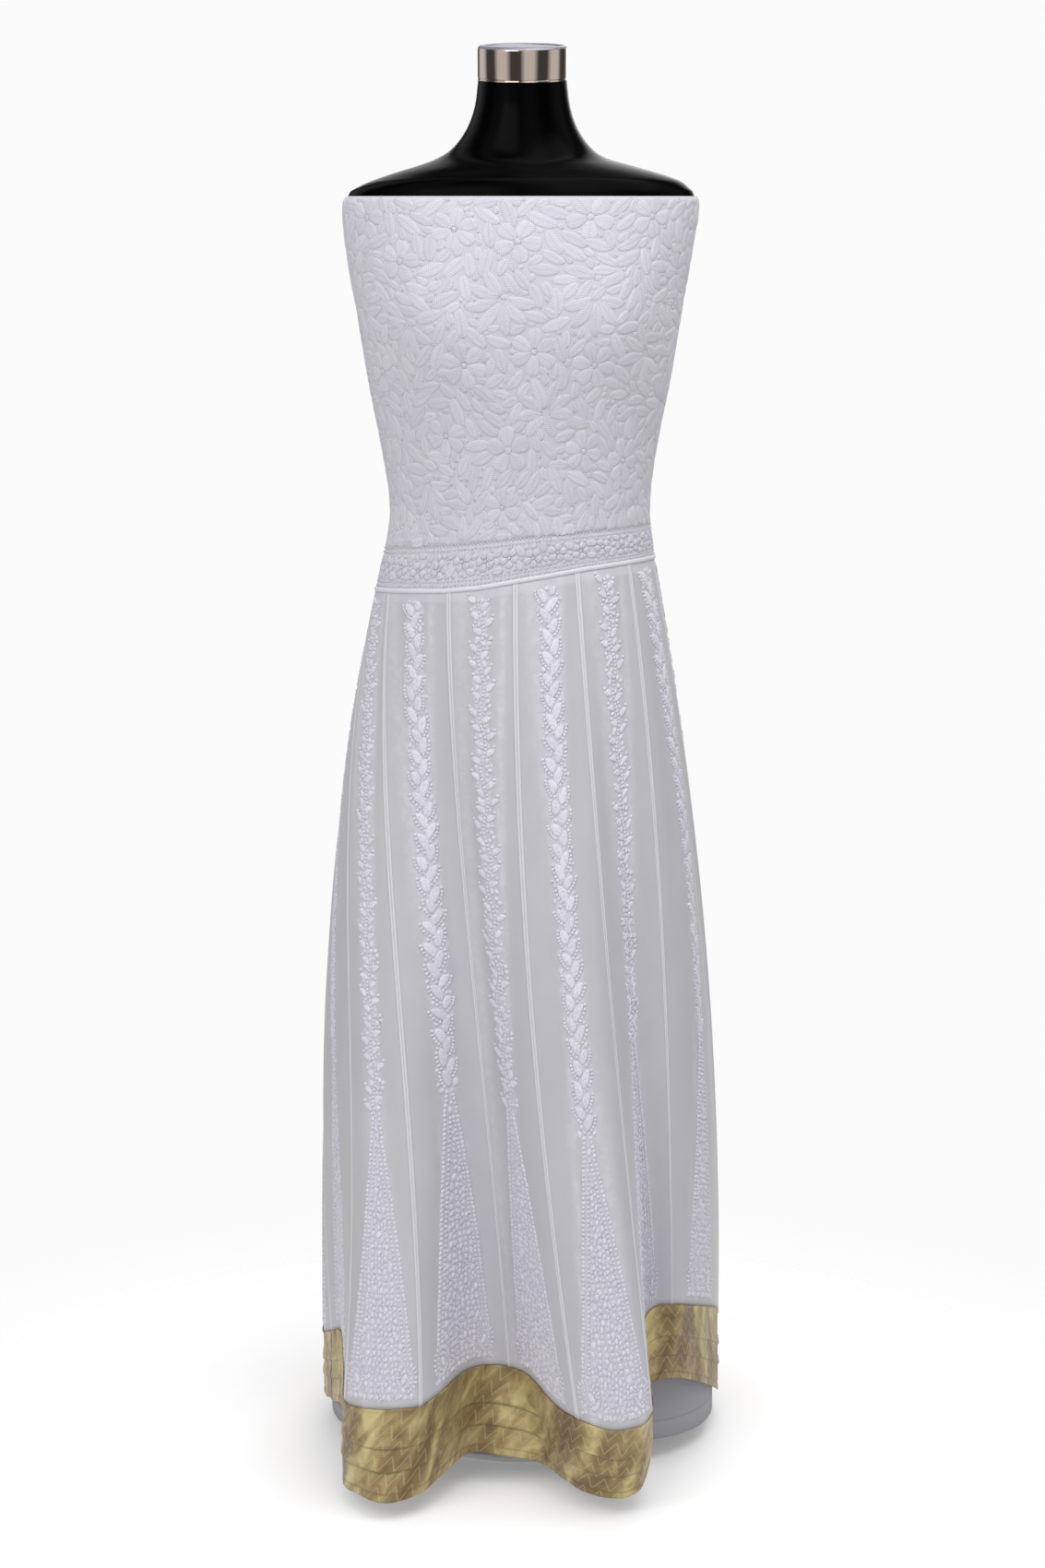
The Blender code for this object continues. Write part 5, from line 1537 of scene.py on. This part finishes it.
def rope_vine(pads, taken, corner, rng, top, foot):
    """Two strands wound round each other: a wide leaf by turns left and right, edged with knots."""
    for step, y in enumerate(np.arange(top - 0.006, foot, -ROPE_STEP)):
        side = 1.0 if step % 2 else -1.0
        x = side * rng.uniform(0.0022, 0.0044) + 0.0012 * math.sin(y * 70.0)
        turn = 0.5 * math.pi - side * (0.42 + rng.normal(0.0, 0.16))
        long = rng.uniform(*ROPE_LEAF)
        lay(pads, taken, corner, pad(x, y, turn, long, ROPE_LEAF_WIDTH, KNOT_RISE,
                                     bend=-0.16 * side), 0.5)
        for knot in range(ROPE_KNOTS):
            along = (knot / (ROPE_KNOTS - 1.0) - 0.5) * 0.95 * long
            off = side * (0.0068 - 22.0 * along * along)
            lay(pads, taken, corner,
                pad(x + along * math.cos(turn) + off * math.sin(turn),
                    y + along * math.sin(turn) - off * math.cos(turn),
                    turn, 0.0046, 0.0041, KNOT_RISE, 0.0), 0.4)


def sprig_vine(pads, taken, corner, rng, top, foot):
    """A wavering stem of knots, with leaves and pairs of knots to its left and right."""
    for y in np.arange(top, foot, -0.0040):
        lay(pads, taken, corner, pad(STEM_SWING * math.sin(y * STEM_WAVES), y, 1.5, 0.0048, 0.0042,
                                     SPRIG_RISE, 0.0), 0.6)
    for step, y in enumerate(np.arange(top, foot, -SPRIG_STEP)):
        side = 1.0 if step % 2 else -1.0
        stem = STEM_SWING * math.sin(y * STEM_WAVES)
        if step % 8 == 5:
            flower(pads, taken, corner, rng, stem + side * 0.0050, y, 5, 0.0066, 0.0058,
                   SPRIG_RISE, 0.5)
            continue
        turn = 0.5 * math.pi - side * (0.85 + rng.normal(0.0, 0.12))
        lay(pads, taken, corner, pad(stem + side * 0.0062, y + 0.002, turn, 0.0125, 0.0068,
                                     SPRIG_RISE, bend=-0.2 * side), 0.45)
        lay(pads, taken, corner, pad(stem + side * 0.0105, y + 0.0080, turn, 0.0048, 0.0043,
                                     SPRIG_RISE, 0.0), 0.5)


def paisley(pads, taken, corner, x, y, side, size):
    """A drop that curls at its tip: radial stitches round it, a second row and a leaf inside."""
    for grow, long, count in ((1.0, 0.0066, 22), (0.60, 0.0042, 14)):
        for step in range(count):
            turn = 2.0 * math.pi * step / count
            swell = size * grow * (1.0 + 0.42 * math.cos(turn - 0.9))
            a = x + side * swell * 0.72 * math.sin(turn)
            b = y + swell * math.cos(turn) * 0.95
            out = math.atan2(b - y, a - x)
            lay(pads, taken, corner, pad(a, b, out, long, 0.0034, KNOT_RISE, 0.1), 0.6)
    lay(pads, taken, corner, pad(x, y + 0.1 * size, 1.5 - 0.4 * side, 0.9 * size, 0.45 * size,
                                 0.0015), 0.6)


def triangle(pads, taken, corner, rng, apex, foot, half):
    """Rows of knots down both sides, and uneven columns of thick knots between them."""
    tall = apex - foot
    corner_size = 0.25 * half
    for side in (-1.0, 1.0):
        paisley(pads, taken, corner, side * (half - 1.25 * corner_size),
                foot + 1.75 * corner_size, side, corner_size * 1.25)
    for y in np.arange(apex, foot + 3.2 * corner_size, -EDGE_STEP):
        reach = 0.0035 + (half - TRIANGLE_TIP) * (apex - y) / tall
        for inset, size in EDGE_ROWS:
            if reach - inset > 0.0015:
                for side in (-1.0, 1.0):
                    lay(pads, taken, corner, pad(side * (reach - inset) + rng.normal(0.0, 0.0003), y,
                                                 1.5 + side * 0.3, size, 0.85 * size, KNOT_RISE,
                                                 0.0), 0.5)
    for column in range(-5, 6):
        for y in np.arange(apex - 0.01, foot + 0.004, -COLUMN_STEP):
            reach = 0.0035 + (half - TRIANGLE_TIP) * (apex - y) / tall
            x = column * COLUMN_APART * (0.8 + 0.2 * (apex - y) / tall)
            x = x + 0.0014 * math.sin(y * 90.0 + column)
            if abs(x) < reach - 0.0090 and rng.uniform() < 0.86:
                size = rng.uniform(0.0058, 0.0084)
                lay(pads, taken, corner, pad(x + rng.normal(0.0, 0.0007), y,
                                             1.5 + rng.normal(0.0, 0.45), size, 0.74 * size,
                                             KNOT_RISE, 0.0), 0.35)
    for x in np.arange(-half + 0.006, half - 0.004, 0.0064):
        lay(pads, taken, corner, pad(x, foot + 0.0035, 0.5 * math.pi, 0.0075, 0.0056, KNOT_RISE,
                                     0.0), 0.4)


for kali in range(KALIS):
    rng = np.random.default_rng(101 + kali)
    grid = skirt_cloth[:, kali]
    normals = skirt_cloth_normals[:, kali]
    drops = kali_drops[kali]
    row_count = np.arange(SKIRT_ROWS + 1.0)
    widths = kali_widths[:, kali]

    def on_kali(x, y, lift):
        """Flat place (across from the kali's middle, minus the way down) to its cloth."""
        row = np.interp(-y, drops, row_count)
        width = np.interp(row, row_count, widths)
        inner = (x + 0.5 * width - SEAM_BAND[-1]) / (width - 2.0 * SEAM_BAND[-1])
        column = len(SEAM_BAND) - 1 + inner * INNER_COLUMNS
        return read_grid(grid, normals, row, column, lift)

    length = float(drops[-1])
    foot = -length + TRIANGLE_CLEAR[1]
    apex = foot + TRIANGLE_HEIGHT
    half = min(TRIANGLE_HALF,
               0.5 * float(np.interp(length - 0.02, drops, widths)) - TRIANGLE_CLEAR[0])
    corner = (-half - MAP_MARGIN, -length)
    y = -length + (np.arange(int(length / CELL)) + 0.5) * CELL
    x = corner[0] + (np.arange(int(2.0 * (half + MAP_MARGIN) / CELL)) + 0.5) * CELL
    ragged = VINE_HALF[kali % 2] * (0.86 + 0.20 * np.sin(y * 340.0 + kali)
                                    + 0.14 * np.sin(y * 823.0))
    reach = np.where(y < apex, TRIANGLE_TIP + (half - TRIANGLE_TIP) * (apex - y) / TRIANGLE_HEIGHT,
                     ragged)
    reach = np.where((y < foot) | (y > -VINE_TOP), 0.0, reach)

    # The cloth under the stitches is marked, so that no grey shows between them.
    inner = (np.arange(grid.shape[1]) - (len(SEAM_BAND) - 1.0)) / INNER_COLUMNS
    sewn_x = (SEAM_BAND[-1] + (widths[:, None] - 2.0 * SEAM_BAND[-1]) * inner
              - 0.5 * widths[:, None])
    bed = np.interp(-drops, y, reach)[:, None] - np.abs(sewn_x)
    mark = kali_cloths[kali].data.attributes.new("stitch_bed", "FLOAT", "POINT")
    bed = np.clip(bed, -BED_REACH, BED_REACH)
    mark.data.foreach_set("value", bed.astype(np.float32).ravel())

    pads = []
    taken = np.zeros((len(y), len(x)), dtype=bool)
    triangle(pads, taken, corner, rng, apex, foot, half)
    vine = sprig_vine if kali % 2 else rope_vine
    vine(pads, taken, corner, rng, -VINE_TOP - 0.004, apex + 0.004)
    taken |= np.abs(x)[None, :] > reach[:, None]
    upper = taken.copy()
    upper[y < apex] = True
    fill_gaps(pads, upper, corner, rng, VINE_FILL, lambda x, y: 1.5)
    taken[y >= apex] = True
    fill_gaps(pads, taken, corner, rng, TRIANGLE_FILL, lambda x, y: 1.5)
    work = stitched(f"kali_embroidery_{kali + 1:02d}", pads, on_kali, rng)
    dress(work, knotted, "skirt_cloth")
